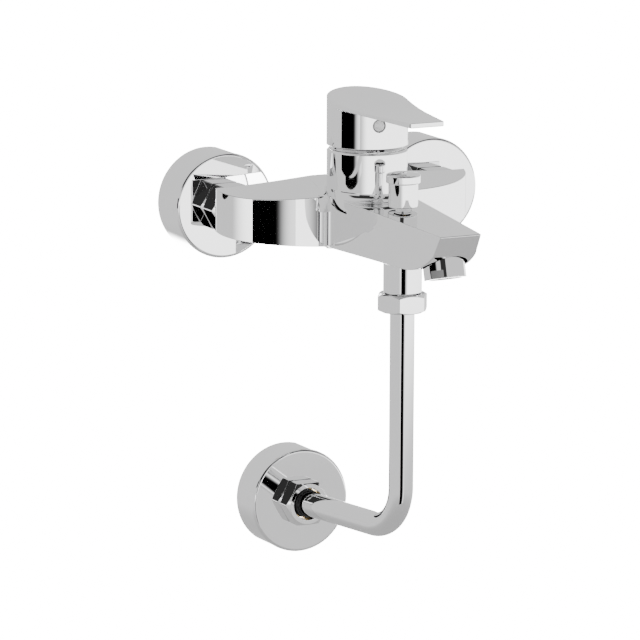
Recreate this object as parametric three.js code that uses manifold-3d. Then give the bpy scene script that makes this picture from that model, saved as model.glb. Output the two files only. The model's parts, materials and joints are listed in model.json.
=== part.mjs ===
// Wall mounted single-lever bath faucet with a pull-up diverter and a rigid riser to a wall outlet.
// Millimetres, +Z up. The wall is the plane Y = 0 and the faucet stands out of it towards -Y, so a
// point's distance from the wall is -Y. The origin is on the wall, midway between the two inlets.
import * as THREE from "three";
import { mergeVertices } from "three/addons/utils/BufferGeometryUtils.js";
import Module from "manifold-3d";

const wasm = await Module();
wasm.setup();

// ---- Driving dimensions -----------------------------------------------------------------------

const GAP = 0.3; // between pieces that seat on, screw into or touch each other
const RAD = Math.PI / 180;

// Wall side: two inlets, 150 mm apart, and one outlet below.
const INLET_X = 75;
const FLANGE_R = 34.5;
const FLANGE_DEPTH = 30;
const FLANGE_WALL = 2;
const FLANGE_EDGE = 2; // fillet round the front face
const TAIL_LENGTH = 15; // thread that goes into the wall pipe
const TAIL_R = 10.4; // G 1/2
const TAIL_BORE = 7;
const ECCENTRICITY = 7; // tail axis below head axis
const UNION_HEAD_R = 13.2; // G 3/4
const UNION_HEAD_BORE = 9;
const WEB_BACK = 5; // the offset web between tail and head
const WEB_FRONT = 17;
const WEB_MARGIN = 2;
const NUT_AF = 2 * UNION_HEAD_R + 3.6;
const NUT_LIP = 2.4;
const WASHER_THICKNESS = 2;
const INLET_COLLAR = 2.8;
const INLET_NIPPLE_R = 9.2;
const INLET_NIPPLE_BORE = 6;
const INLET_THREAD_DEPTH = 9;

// Body casting: two arms, a round neck and the spout.
const ARM_BACK = 47; // distance of the arms' back face from the wall
const ARM_REACH = 28; // depth of the bow at the centre
const ARM_HALF_SPAN = INLET_X + 15.5;
const ARM_END_TOP = 15.5;
const ARM_RISE = 5.5; // the back top edge climbs by this towards the centre
const ARM_RISE_SPAN = INLET_X + 5;
const ARM_END_BOTTOM = -12.7;
const ARM_DROP = 2;
const ARM_SLOPE = 0.36; // arms lean down towards the front
const BODY_D = 84.3; // distance of the neck's axis from the wall
const NECK_R = 26.2;
const NECK_TOP = 41;
const NECK_CHAMFER = 1.2;
const BODY_BOTTOM = -22.9;
const SHELF_FILLET = 6;
const SPOUT_TIP_D = 214;
const SPOUT_TIP_HALF = 14.5;
const SPOUT_TOP = 10.9; // top face at the neck's axis, falling towards the tip
const SPOUT_TIP_TOP = 4.2;
const SPOUT_CHIN_D = SPOUT_TIP_D - 8.7; // lower end of the slanted front face
const SWEEP_START_D = SPOUT_TIP_D - 44; // underside curves up from here
const SWEEP_R = 55;

// Cartridge, inside the neck.
const CAVITY_R = NECK_R - 5.2;
const CAVITY_FLOOR = -10;
const THREAD_R = NECK_R - 3.4; // retaining nut thread at the top of the cavity
const THREAD_BOTTOM = 31.2;
const PORT_R = 3.8;
const PORT_SPREAD = 8.5;
const PORT_BACK = 8.3;
const OUTLET_PORT_FORWARD = 10;
const DISC_R = CAVITY_R - 5.5;
const DISC_THICKNESS = 4;
const DISC_POCKET_R = 9; // joins the ports under the moving disc
const MOVING_DISC_R = DISC_R - 2;
const HOLDER_PLATE = 3.2;
const KEY_WIDTH = 18; // of the holder, in the carrier's keyway
const KEY_LENGTH = 17;
const CARRIER_R = CAVITY_R - 6.5;
const PIVOT_Z = 25.5;
const REST_TILT = 12; // degrees the spindle leans forward when the tap is shut
const SPINDLE_SIDE = 8;
const SPINDLE_BOSS_R = 4.4;
const SPINDLE_ARM_R = 2.4;
const SPINDLE_UP = 40;
const SPINDLE_DOWN = 15.5;
const SPINDLE_TIP_R = 3.2;
const PIN_R = 1.5;
const DOME_BASE_R = NECK_R - NECK_CHAMFER - 0.2;
const DOME_R = Math.hypot(DOME_BASE_R, NECK_TOP + GAP - PIVOT_Z); // a sphere about the pivot
const DOME_WALL = 1.2;
const DOME_HOLE_R = 12.6;
const DOME_SLEEVE_WALL = 1.6;
const DOME_SLEEVE_DEPTH = 2.4;
const RETAINING_NUT_BORE = 13.5;
const RETAINING_NUT_KEY = 30; // across the flats of its hexagonal recess

// Handle: a skirt over the neck and a tongue-shaped lever.
const SKIRT_R = NECK_R + 0.2;
const SKIRT_WALL = 2.2;
const SKIRT_BOTTOM = 43.5;
const SKIRT_CEILING = 66.3;
const LEVER_TIP_D = 167.5;
const LEVER_TIP_HALF = 12;
const LEVER_TIP_TOP = 69.3;
const LEVER_TIP_BOTTOM = LEVER_TIP_TOP - 3.3;
const LEVER_FLAT_D = 135; // the top is flat in front of here and curves up behind it
const LEVER_CURVE = 0.0014;
const LEVER_NECK_BOTTOM = 68.2; // underside of the lever at the skirt
const HUB_R = 9;
const HUB_START = 31; // distance of the hub's foot from the pivot
const INDEX_AZIMUTH = -10; // degrees, seen from the front, negative to the left
const INDEX_Z = 59;
const INDEX_HOLE_R = 4.4;
const INDEX_HOLE_DEPTH = 5;
const INDEX_R = INDEX_HOLE_R - 0.7;
const GRUB_R = 2.5;
const GRUB_LENGTH = 7;

// Diverter, in the spout.
const DIVERTER_D = 135;
const KNOB_R = 11.25;
const KNOB_STEM_R = KNOB_R - 1.55;
const KNOB_TOP = 33;
const KNOB_RIM = 26;
const KNOB_BOTTOM = 10.4;
const ROD_R = 2.5;
const ROD_CLEARANCE = 0.2;
const ROD_FOOT_R = 4.4; // carries the seal
const ROD_BOTTOM = -17.2;
const ROD_TOP = 24;
const BONNET_R = 6.1;
const BONNET_TOP = 10;
const BONNET_BOTTOM = 3.5;
const O_RING_GROOVE_R = 4.4;
const O_RING_GROOVE_TOP = 6.4;
const O_RING_SECTION_R = 0.75;
const CHAMBER_R = 9.2;
const UPPER_SEAT_Z = -3.4;
const UPPER_SEAT_R = 5.5;
const LOWER_SEAT_Z = -16;
const VALVE_R = CHAMBER_R - 1.2;
const VALVE_THICKNESS = 2.8;
const VALVE_PLATE_R = 4.8;
const CHANNEL_R = 4;
const SPOUT_CHANNEL_R = 3.6;
const SPOUT_WALL = 4; // round the hollow between the diverter and the aerator
const SPRING_R = 4.1;
const SPRING_WIRE = 0.5;
const SPRING_TURNS = 4;

// Aerator, under the spout's tip.
const AERATOR_D = SPOUT_TIP_D - 20.5; // centre of its lower rim
const AERATOR_Z = -26.8;
const AERATOR_TILT = 15; // its lower end stands further from the wall
const AERATOR_R = 13.4;
const AERATOR_LENGTH = 17.2;
const AERATOR_BORE = AERATOR_R - 3;
const AERATOR_NECK_BORE = AERATOR_BORE - 1.4;
const AERATOR_NECK = 3; // length of the narrower bore below the thread
const AERATOR_THREAD_R = AERATOR_R - 2;
const AERATOR_THREAD = 5.3;
const AERATOR_SEAL = 1.6;
const AERATOR_POCKET_R = AERATOR_R + 1.8;
const WRENCH_FLAT_AF = 2 * AERATOR_R - 1.4;
const WRENCH_FLAT_LENGTH = 5.3;
const WRENCH_FLAT_AZIMUTH = -49;

// Outlet below the diverter, the riser pipe and its wall connection.
const PIPE_R = 8;
const PIPE_WALL = 1.4;
const PIPE_RING_R = PIPE_R + 2;
const PIPE_RING_LENGTH = 1.6;
const OUTLET_THREAD_R = PIPE_R + 2.3;
const OUTLET_THREAD_LENGTH = 5;
const OUTLET_BORE = PIPE_R - 2;
const COLLAR_R = OUTLET_THREAD_R + 2.3;
const COLLAR_BOTTOM = -45;
const RISER_NUT_AF = 2 * OUTLET_THREAD_R + 9.4;
const RISER_NUT_LIP = 2.8;
const RISER_NUT_TURN = -4; // degrees, where the nut stopped when tightened
const PIPE_BEND_R = 29;
const WALL_OUTLET_X = -17.6;
const WALL_OUTLET_Z = -202;
const WALL_OUTLET_DEPTH = 26;
const WALL_NUT_BORE = PIPE_R + 2.7;
const WALL_NUT_AF = 2 * WALL_NUT_BORE + 6.6;
const WALL_NUT_LENGTH = 11.7;
const WALL_NIPPLE_R = WALL_NUT_BORE - 0.4;
const PIPE_INSERTION = 3.5; // wall nipple stands out of the flange by this
const COMPRESSION_RING_LENGTH = 4.2;
const COMPRESSION_RING_WALL = 1.6;

// Facets.
const COARSE = 14;
const MEDIUM = 22;
const FINE = 36;

// ---- Materials --------------------------------------------------------------------------------

const metal = (color, roughness) =>
  new THREE.MeshStandardMaterial({ color, roughness, metalness: 1 });
const plain = (color, roughness) =>
  new THREE.MeshStandardMaterial({ color, roughness, metalness: 0 });
const CHROME = metal(0xdcdcde, 0.06);
const BRASS = metal(0xc6a25a, 0.35);
const STEEL = metal(0xb9bcc0, 0.3);
const CERAMIC = plain(0xe9e6df, 0.3);
const PLASTIC = plain(0x9ea3a8, 0.5);
const RUBBER = plain(0x1d1d1f, 0.7);
const INDEX_WHITE = plain(0xf2f2f0, 0.25);

// ---- Solids -----------------------------------------------------------------------------------

// A geometry as a closed solid, with its faces pointing out.
function solid(geometry) {
  const bare = new THREE.BufferGeometry();
  bare.setAttribute("position", geometry.getAttribute("position").clone());
  if (geometry.index) bare.setIndex(geometry.index.clone());
  const merged = mergeVertices(bare, 1e-4);
  const corners = merged.index.array;
  const faces = [];
  for (let i = 0; i < corners.length; i += 3) {
    const [a, b, c] = corners.slice(i, i + 3);
    if (a !== b && b !== c && c !== a) faces.push(a, b, c);
  }
  const position = merged.getAttribute("position").array;
  const at = (n) => new THREE.Vector3().fromArray(position, n * 3);
  let volume = 0;
  for (let i = 0; i < faces.length; i += 3)
    volume += at(faces[i]).dot(at(faces[i + 1]).cross(at(faces[i + 2])));
  if (volume < 0) faces.reverse();
  return new wasm.Manifold(
    new wasm.Mesh({
      numProp: 3,
      vertProperties: new Float32Array(position),
      triVerts: new Uint32Array(faces),
    }),
  );
}

function geometryOf(manifold) {
  const mesh = manifold.getMesh();
  const geometry = new THREE.BufferGeometry();
  geometry.setAttribute("position", new THREE.BufferAttribute(mesh.vertProperties, 3));
  geometry.setIndex(new THREE.BufferAttribute(mesh.triVerts, 1));
  geometry.computeVertexNormals();
  return geometry;
}

const join = (...pieces) => geometryOf(pieces.map(solid).reduce((a, b) => a.add(b)));
const cut = (body, ...tools) =>
  geometryOf(tools.map(solid).reduce((a, b) => a.subtract(b), solid(body)));
const common = (...pieces) => geometryOf(pieces.map(solid).reduce((a, b) => a.intersect(b)));

// A profile of [radius, height] points turned about +Z. It starts and ends on the axis or closes.
function revolve(profile, segments = MEDIUM) {
  const points = profile.map(([r, z]) => new THREE.Vector2(r, z));
  return new THREE.LatheGeometry(points, segments).rotateX(Math.PI / 2);
}

const rod = (r, low, high, segments) =>
  revolve([[0, low], [r, low], [r, high], [0, high]], segments);
const ring = (inner, outer, low, high, segments) =>
  revolve([[inner, low], [outer, low], [outer, high], [inner, high], [inner, low]], segments);

function box(width, depth, low, high) {
  return new THREE.BoxGeometry(width, depth, high - low).translate(0, 0, (low + high) / 2);
}

function outlineShape(outline) {
  return new THREE.Shape(outline.map(([x, y]) => new THREE.Vector2(x, y)));
}

function extrude(shape, length) {
  return new THREE.ExtrudeGeometry(shape, { depth: length, bevelEnabled: false });
}

// An outline of [x, distance from the wall] points, seen from above, from one height to another.
function planPrism(outline, low, high) {
  const toWorld = new THREE.Matrix4().makeBasis(
    new THREE.Vector3(1, 0, 0),
    new THREE.Vector3(0, -1, 0),
    new THREE.Vector3(0, 0, -1),
  );
  return extrude(outlineShape(outline), high - low).applyMatrix4(toWorld).translate(0, 0, high);
}

// An outline of [distance from the wall, z] points, seen from the side, over a width about X = 0.
function sidePrism(outline, width) {
  const toWorld = new THREE.Matrix4().makeBasis(
    new THREE.Vector3(0, -1, 0),
    new THREE.Vector3(0, 0, 1),
    new THREE.Vector3(-1, 0, 0),
  );
  return extrude(outlineShape(outline), width).applyMatrix4(toWorld).translate(width / 2, 0, 0);
}

// Turns a piece made along +Z so that its +Z points away from the wall, and puts its axis in place.
const outOfWall = (geometry, x, z) => geometry.rotateX(Math.PI / 2).translate(x, 0, z);

// A round bar from one [x, distance, z] point to another.
function bar(from, to, r, segments = COARSE) {
  const a = new THREE.Vector3(from[0], -from[1], from[2]);
  const b = new THREE.Vector3(to[0], -to[1], to[2]);
  const along = b.clone().sub(a);
  const turn = new THREE.Quaternion().setFromUnitVectors(
    new THREE.Vector3(0, 0, 1),
    along.clone().normalize(),
  );
  return rod(r, 0, along.length(), segments).applyQuaternion(turn).translate(a.x, a.y, a.z);
}

// A hexagonal bar with its corners bevelled at both ends. Its corners point along X.
function hexBar(acrossFlats, low, high) {
  const corner = acrossFlats / Math.sqrt(3);
  const outside = corner + 0.2;
  const sides = Array.from({ length: 6 }, (_, i) => [
    corner * Math.cos(i * 60 * RAD),
    corner * Math.sin(i * 60 * RAD),
  ]);
  const prism = extrude(outlineShape(sides), high - low).translate(0, 0, low);
  const face = acrossFlats / 2 - 0.3;
  const bevel = (outside - face) * Math.tan(30 * RAD);
  const turned = [
    [0, low],
    [face, low],
    [outside, low + bevel],
    [outside, high - bevel],
    [face, high],
    [0, high],
  ];
  return common(prism, revolve(turned, MEDIUM));
}

// Where a straight line from a tip corner touches a circle about [0, centre]: [x, distance].
function tangentPoint(radius, centre, tipHalf, tipDistance) {
  const reach = tipDistance - centre;
  const angle = Math.atan2(tipHalf, reach) + Math.acos(radius / Math.hypot(tipHalf, reach));
  return [radius * Math.sin(angle), centre + radius * Math.cos(angle), angle];
}

const arc = (count, from, to, point) =>
  Array.from({ length: count + 1 }, (_, i) => point(from + ((to - from) * i) / count));

const atNeck = (geometry) => geometry.translate(0, -BODY_D, 0);
const atDiverter = (geometry) => geometry.translate(0, -DIVERTER_D, 0);
const atAerator = (geometry) =>
  geometry.rotateX(-AERATOR_TILT * RAD).translate(0, -AERATOR_D, AERATOR_Z);

// Turns a piece drawn about the lift pivot from the upright spindle to its rest lean.
const leaning = (geometry) =>
  geometry
    .translate(0, 0, -PIVOT_Z)
    .rotateX(REST_TILT * RAD)
    .translate(0, -BODY_D, PIVOT_Z);

// Turns a piece drawn along +Z so that it points out of the neck at the index button.
function atIndex(geometry) {
  return geometry
    .rotateX(Math.PI / 2)
    .rotateZ(INDEX_AZIMUTH * RAD)
    .translate(0, -BODY_D, INDEX_Z);
}

// ---- Wall connections -------------------------------------------------------------------------

function wallFlange(depth, hole) {
  const rim = FLANGE_R - FLANGE_WALL;
  const edge = arc(3, 0, 90, (a) => [
    FLANGE_R - FLANGE_EDGE + FLANGE_EDGE * Math.cos(a * RAD),
    depth - FLANGE_EDGE + FLANGE_EDGE * Math.sin(a * RAD),
  ]);
  const profile = [
    [hole, depth - FLANGE_WALL],
    [rim, depth - FLANGE_WALL],
    [rim, 0],
    [FLANGE_R, 0],
    ...edge,
    [hole, depth],
    [hole, depth - FLANGE_WALL],
  ];
  return revolve(profile, FINE);
}

const UNION_FACE = ARM_BACK - NUT_LIP - INLET_COLLAR - WASHER_THICKNESS - 4 * GAP;

// Offset coupling: a tail in the wall pipe, an offset web and a head that carries the union nut.
function eccentricUnion() {
  const webR = UNION_HEAD_R + WEB_MARGIN;
  const rim = (lower) => (a) => [webR * Math.cos(a * RAD), webR * Math.sin(a * RAD) - lower];
  const outline = [...arc(10, 0, 180, rim(0)), ...arc(10, 180, 360, rim(ECCENTRICITY))];
  const web = extrude(outlineShape(outline), WEB_FRONT - WEB_BACK).translate(0, 0, WEB_BACK);
  const tail = rod(TAIL_R, -TAIL_LENGTH, WEB_BACK + 1).translate(0, -ECCENTRICITY, 0);
  const head = rod(UNION_HEAD_R, WEB_FRONT - 1, UNION_FACE);
  const middle = (WEB_BACK + WEB_FRONT) / 2;
  const tailBore = rod(TAIL_BORE, -TAIL_LENGTH - 1, middle + 1).translate(0, -ECCENTRICITY, 0);
  const headBore = rod(UNION_HEAD_BORE, middle - 1, UNION_FACE + 1);
  return cut(join(web, tail, head), tailBore, headBore);
}

function unionNut() {
  const low = FLANGE_DEPTH + GAP;
  const high = ARM_BACK - GAP;
  const thread = rod(UNION_HEAD_R + GAP, low - 1, high - NUT_LIP);
  const mouth = rod(INLET_NIPPLE_R + GAP, low, high + 1);
  return cut(hexBar(NUT_AF, low, high), thread, mouth);
}

function filterWasher() {
  const low = UNION_FACE + GAP;
  return ring(INLET_NIPPLE_BORE, UNION_HEAD_R - GAP, low, low + WASHER_THICKNESS);
}

// Screwed into the arm through the union nut, which its collar pulls against the washer.
function inletNipple() {
  const low = UNION_FACE + WASHER_THICKNESS + 2 * GAP;
  const collar = low + INLET_COLLAR;
  return revolve([
    [INLET_NIPPLE_BORE, low],
    [UNION_HEAD_R - GAP, low],
    [UNION_HEAD_R - GAP, collar],
    [INLET_NIPPLE_R, collar],
    [INLET_NIPPLE_R, ARM_BACK + INLET_THREAD_DEPTH],
    [INLET_NIPPLE_BORE, ARM_BACK + INLET_THREAD_DEPTH],
    [INLET_NIPPLE_BORE, low],
  ]);
}

// ---- Body casting -----------------------------------------------------------------------------

const lean = new THREE.Matrix4().set(1, 0, 0, 0, 0, 1, 0, 0, 0, ARM_SLOPE, 1, 0, 0, 0, 0, 1);
const leaningForward = (geometry) =>
  geometry.translate(0, ARM_BACK, 0).applyMatrix4(lean).translate(0, -ARM_BACK, 0);

const armTop = (x) =>
  ARM_END_TOP + ARM_RISE * Math.max(0, 1 - Math.abs(x) / ARM_RISE_SPAN) ** 1.3;
const armBottom = (x) => ARM_END_BOTTOM - ARM_DROP * (1 - Math.abs(x) / ARM_HALF_SPAN);

// Both arms in one bow: an elliptical front in plan, leaning down towards the front.
function arms() {
  const plan = arc(26, 0, 180, (a) => [
    ARM_HALF_SPAN * Math.cos(a * RAD),
    ARM_BACK + 1 + (ARM_REACH - 1) * Math.sin(a * RAD),
  ]);
  const bow = planPrism(
    [[ARM_HALF_SPAN, ARM_BACK], ...plan, [-ARM_HALF_SPAN, ARM_BACK]],
    -60,
    60,
  );
  const reach = ARM_HALF_SPAN + 1;
  const front = [
    ...arc(12, -reach, reach, (x) => [x, armBottom(x)]),
    ...arc(24, reach, -reach, (x) => [x, armTop(x)]),
  ];
  const slab = extrude(outlineShape(front), 2 * ARM_REACH)
    .rotateX(Math.PI / 2)
    .translate(0, -ARM_BACK + ARM_REACH / 2, 0);
  return common(bow, leaningForward(slab));
}

// A concave collar round the neck, rising from the height of a shelf.
function shelfFillet(shelf) {
  const outer = NECK_R + SHELF_FILLET;
  const curve = arc(5, 270, 180, (a) => [
    outer + SHELF_FILLET * Math.cos(a * RAD),
    shelf + SHELF_FILLET + SHELF_FILLET * Math.sin(a * RAD),
  ]);
  const foot = shelf - 4;
  return atNeck(revolve([[0, foot], [outer, foot], ...curve, [0, shelf + SHELF_FILLET]], FINE));
}

function spoutPlan() {
  const [x, d] = tangentPoint(NECK_R, BODY_D, SPOUT_TIP_HALF, SPOUT_TIP_D);
  return [[x, BODY_D], [x, d], [SPOUT_TIP_HALF, SPOUT_TIP_D], [-SPOUT_TIP_HALF, SPOUT_TIP_D],
    [-x, d], [-x, BODY_D]];
}

function spoutHalfWidth(distance) {
  const [x, d] = tangentPoint(NECK_R, BODY_D, SPOUT_TIP_HALF, SPOUT_TIP_D);
  return x + ((SPOUT_TIP_HALF - x) * (distance - d)) / (SPOUT_TIP_D - d);
}

const underside = (d) => BODY_BOTTOM + SWEEP_R - Math.sqrt(SWEEP_R ** 2 - (d - SWEEP_START_D) ** 2);

const spoutTopAt = (d) =>
  SPOUT_TOP + ((SPOUT_TIP_TOP - SPOUT_TOP) * (d - BODY_D)) / (SPOUT_TIP_D - BODY_D);

function spout() {
  const profile = [
    [BODY_D, BODY_BOTTOM],
    ...arc(8, SWEEP_START_D, SPOUT_CHIN_D, (d) => [d, underside(d)]),
    [SPOUT_TIP_D, SPOUT_TIP_TOP],
    [BODY_D, SPOUT_TOP],
  ];
  const plan = planPrism(spoutPlan(), -40, 40);
  return join(
    common(plan, sidePrism(profile, 60)),
    common(plan, shelfFillet(spoutTopAt(BODY_D + NECK_R + SHELF_FILLET))),
  );
}

function neck() {
  const profile = [
    [0, BODY_BOTTOM],
    [NECK_R - 1, BODY_BOTTOM],
    [NECK_R, BODY_BOTTOM + 1],
    [NECK_R, NECK_TOP - NECK_CHAMFER],
    [NECK_R - NECK_CHAMFER, NECK_TOP],
    [0, NECK_TOP],
  ];
  return atNeck(revolve(profile, FINE));
}

const inletPort = (side) => [side * PORT_SPREAD, BODY_D - PORT_BACK];
const outletPort = () => [0, BODY_D + OUTLET_PORT_FORWARD];
const portFloor = CAVITY_FLOOR - 5;
const AERATOR_BORE_TOP = AERATOR_LENGTH + AERATOR_THREAD + AERATOR_SEAL + 2 * GAP;

// Lightens the spout between the diverter chamber and the aerator's pocket.
function spoutHollow() {
  const back = DIVERTER_D + CHAMBER_R + SPOUT_WALL;
  const front = AERATOR_D - AERATOR_POCKET_R - AERATOR_LENGTH / 3 - SPOUT_WALL;
  const half = (d) => spoutHalfWidth(d) - SPOUT_WALL;
  const plan = [
    [half(back), back],
    [half(front), front],
    [-half(front), front],
    [-half(back), back],
  ];
  return planPrism(plan, BODY_BOTTOM + SPOUT_WALL, spoutTopAt(front) - SPOUT_WALL);
}

// The casting is hollow: cartridge cavity, two inlet ways, the diverter chamber and the spout way.
function bodyCasting() {
  const tools = [
    atNeck(rod(CAVITY_R, CAVITY_FLOOR, NECK_TOP + 1, FINE)),
    atNeck(rod(THREAD_R, THREAD_BOTTOM, NECK_TOP + 1, FINE)),
  ];
  for (const side of [-1, 1]) {
    const [x, d] = inletPort(side);
    const inner = ARM_BACK + INLET_THREAD_DEPTH + GAP;
    const thread = rod(INLET_NIPPLE_R + GAP, ARM_BACK - 1, inner);
    tools.push(outOfWall(thread, side * INLET_X, 0));
    tools.push(bar([side * (INLET_X - 1), inner - 1, -2], [x, d, portFloor], PORT_R, 12));
    tools.push(bar([x, d, portFloor - 1], [x, d, CAVITY_FLOOR + 1], PORT_R, 12));
  }
  const [x, d] = outletPort();
  const channelZ = portFloor + 0.5;
  tools.push(bar([x, d, channelZ], [x, d, CAVITY_FLOOR + 1], CHANNEL_R));
  tools.push(bar([x, d, channelZ], [x, DIVERTER_D - CHAMBER_R + 2, channelZ], CHANNEL_R));
  const nippleTop = LOWER_SEAT_Z + GAP;
  tools.push(atDiverter(rod(OUTLET_THREAD_R + GAP, BODY_BOTTOM - 1, nippleTop, COARSE)));
  tools.push(atDiverter(rod(CHAMBER_R, nippleTop - 1, UPPER_SEAT_Z, COARSE)));
  tools.push(atDiverter(rod(UPPER_SEAT_R, UPPER_SEAT_Z - 1, SPOUT_TOP + 2, COARSE)));
  const inletD = AERATOR_D - AERATOR_BORE_TOP * Math.sin(AERATOR_TILT * RAD);
  const inletZ = AERATOR_Z + AERATOR_BORE_TOP * Math.cos(AERATOR_TILT * RAD);
  tools.push(bar([0, DIVERTER_D, -0.5], [0, inletD, inletZ], SPOUT_CHANNEL_R));
  tools.push(spoutHollow());
  tools.push(atAerator(rod(AERATOR_POCKET_R, -10, AERATOR_LENGTH + GAP, MEDIUM)));
  tools.push(atAerator(rod(AERATOR_THREAD_R + GAP, AERATOR_LENGTH, AERATOR_BORE_TOP, MEDIUM)));
  const armFillet = common(leaningForward(shelfFillet(ARM_END_TOP + 4)), arms().translate(0, 0, 12));
  return cut(join(neck(), arms(), spout(), armFillet), ...tools);
}

// ---- Cartridge --------------------------------------------------------------------------------

const SEAL_TOP = CAVITY_FLOOR + GAP + 1.4;
const BASE_TOP = SEAL_TOP + GAP + 5;
const FIXED_TOP = BASE_TOP + GAP + DISC_THICKNESS;
const MOVING_TOP = FIXED_TOP + GAP + DISC_THICKNESS;
const HOLDER_PLATE_TOP = MOVING_TOP + GAP + HOLDER_PLATE;
const CARRIER_BOTTOM = HOLDER_PLATE_TOP + GAP + 1;
const KEY_TOP = CARRIER_BOTTOM + 1.6;
const HOUSING_TOP = THREAD_BOTTOM - GAP;
const HOUSING_LIP = 1.5;
const REST_OFFSET = SPINDLE_DOWN * Math.sin(REST_TILT * RAD);

function ported(plate) {
  const port = ([x, d], r) => bar([x, d, CAVITY_FLOOR - 1], [x, d, FIXED_TOP + 1], r, 12);
  const inlets = [-1, 1].map((side) => port(inletPort(side), PORT_R - GAP));
  return cut(plate, ...inlets, port(outletPort(), CHANNEL_R - GAP));
}

const cartridgeBaseSeal = () =>
  ported(atNeck(rod(CAVITY_R - 2, CAVITY_FLOOR + GAP, SEAL_TOP, MEDIUM)));
const cartridgeBase = () =>
  ported(atNeck(rod(CAVITY_R - 1, SEAL_TOP + GAP, BASE_TOP, MEDIUM)));
const fixedCeramicDisc = () =>
  ported(atNeck(rod(DISC_R, BASE_TOP + GAP, FIXED_TOP, MEDIUM)));

// Slides over the ports, and joins them through the pocket in its underside.
function movingCeramicDisc() {
  const low = FIXED_TOP + GAP;
  const disc = rod(MOVING_DISC_R, low, MOVING_TOP, MEDIUM);
  const pocket = rod(DISC_POCKET_R, low - 1, low + DISC_THICKNESS / 2, COARSE);
  return atNeck(cut(disc, pocket)).translate(0, REST_OFFSET, 0);
}

// Carries the moving disc. Its key slides in the carrier and its socket takes the spindle's tip.
function movingDiscHolder() {
  const low = MOVING_TOP + GAP;
  const plate = rod(MOVING_DISC_R, low, HOLDER_PLATE_TOP, MEDIUM);
  const key = box(KEY_WIDTH, KEY_LENGTH, HOLDER_PLATE_TOP - 0.5, KEY_TOP);
  const socket = rod(SPINDLE_TIP_R + 0.5, low + 0.6, KEY_TOP + 1, COARSE);
  return atNeck(cut(join(plate, key), socket)).translate(0, REST_OFFSET, 0);
}

function cartridgeHousing() {
  const outer = CAVITY_R - 1;
  const inner = DISC_R + 3;
  const lip = CARRIER_R - 3;
  const low = BASE_TOP + GAP;
  const shoulder = KEY_TOP + 1;
  const profile = [
    [inner, low],
    [outer, low],
    [outer, HOUSING_TOP],
    [lip, HOUSING_TOP],
    [lip, HOUSING_TOP - HOUSING_LIP],
    [CARRIER_R + GAP, HOUSING_TOP - HOUSING_LIP],
    [CARRIER_R + GAP, shoulder],
    [inner, shoulder],
    [inner, low],
  ];
  return atNeck(revolve(profile));
}

// Turns with the handle. The spindle rocks in its slot on a pin.
function cartridgeCarrier() {
  const block = rod(CARRIER_R, CARRIER_BOTTOM, HOUSING_TOP - HOUSING_LIP - GAP, MEDIUM);
  const slot = box(SPINDLE_SIDE + 1.6, 14, CARRIER_BOTTOM - 1, HOUSING_TOP);
  const keyway = box(KEY_WIDTH + 2 * GAP, 4 * CARRIER_R, CARRIER_BOTTOM - 1, KEY_TOP + GAP);
  return atNeck(cut(block, slot, keyway, alongPivot(PIN_R + 0.1, CARRIER_R + 1)));
}

// A bar of a half length on the axis about which the spindle rocks.
function alongPivot(r, half) {
  return rod(r, -half, half, COARSE)
    .rotateY(Math.PI / 2)
    .translate(0, 0, PIVOT_Z);
}

const spindlePivotPin = () => atNeck(alongPivot(PIN_R, CARRIER_R));

function cartridgeSpindle() {
  const shaft = box(SPINDLE_SIDE, SPINDLE_SIDE, PIVOT_Z, PIVOT_Z + SPINDLE_UP);
  const boss = alongPivot(SPINDLE_BOSS_R, SPINDLE_SIDE / 2);
  const arm = rod(SPINDLE_ARM_R, PIVOT_Z - SPINDLE_DOWN, PIVOT_Z - 2, 12);
  const tip = new THREE.SphereGeometry(SPINDLE_TIP_R, 12, 8)
    .rotateX(Math.PI / 2)
    .translate(0, 0, PIVOT_Z - SPINDLE_DOWN);
  return leaning(cut(join(shaft, boss, arm, tip), alongPivot(PIN_R + 0.1, SPINDLE_SIDE)));
}

function cartridgeRetainingNut() {
  const nut = ring(RETAINING_NUT_BORE, THREAD_R - GAP, THREAD_BOTTOM, NECK_TOP - 3, MEDIUM);
  return atNeck(cut(nut, hexBar(RETAINING_NUT_KEY, THREAD_BOTTOM + 3, NECK_TOP)));
}

// Domed cover over the cartridge. The skirt of the handle sweeps round it as the lever lifts.
function coverDomeRing() {
  const inner = DOME_R - DOME_WALL;
  const base = NECK_TOP + GAP - PIVOT_Z;
  const angleAt = (radius, height) => Math.atan2(height, Math.sqrt(radius ** 2 - height ** 2));
  const holeAngle = (radius) => Math.acos(DOME_HOLE_R / radius);
  const sleeve = THREAD_R - GAP;
  const sleeveBore = sleeve - DOME_SLEEVE_WALL;
  const point = (radius) => (a) => [radius * Math.cos(a), PIVOT_Z + radius * Math.sin(a)];
  const profile = [
    ...arc(6, angleAt(DOME_R, base), holeAngle(DOME_R), point(DOME_R)),
    ...arc(4, holeAngle(inner), Math.acos(sleeveBore / inner), point(inner)),
    [sleeveBore, NECK_TOP - DOME_SLEEVE_DEPTH],
    [sleeve, NECK_TOP - DOME_SLEEVE_DEPTH],
    [sleeve, NECK_TOP + GAP],
    point(DOME_R)(angleAt(DOME_R, base)),
  ];
  return atNeck(revolve(profile, FINE));
}

// ---- Handle -----------------------------------------------------------------------------------

const leverTop = (d) => LEVER_TIP_TOP + LEVER_CURVE * Math.max(0, LEVER_FLAT_D - d) ** 2;
const SKIRT_BACK_D = BODY_D - SKIRT_R;

function leverPlan() {
  const [, , angle] = tangentPoint(SKIRT_R, BODY_D, LEVER_TIP_HALF, LEVER_TIP_D);
  const back = arc(26, angle, 2 * Math.PI - angle, (a) => [
    SKIRT_R * Math.sin(a),
    BODY_D + SKIRT_R * Math.cos(a),
  ]);
  return [[LEVER_TIP_HALF, LEVER_TIP_D], ...back, [-LEVER_TIP_HALF, LEVER_TIP_D]];
}

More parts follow.
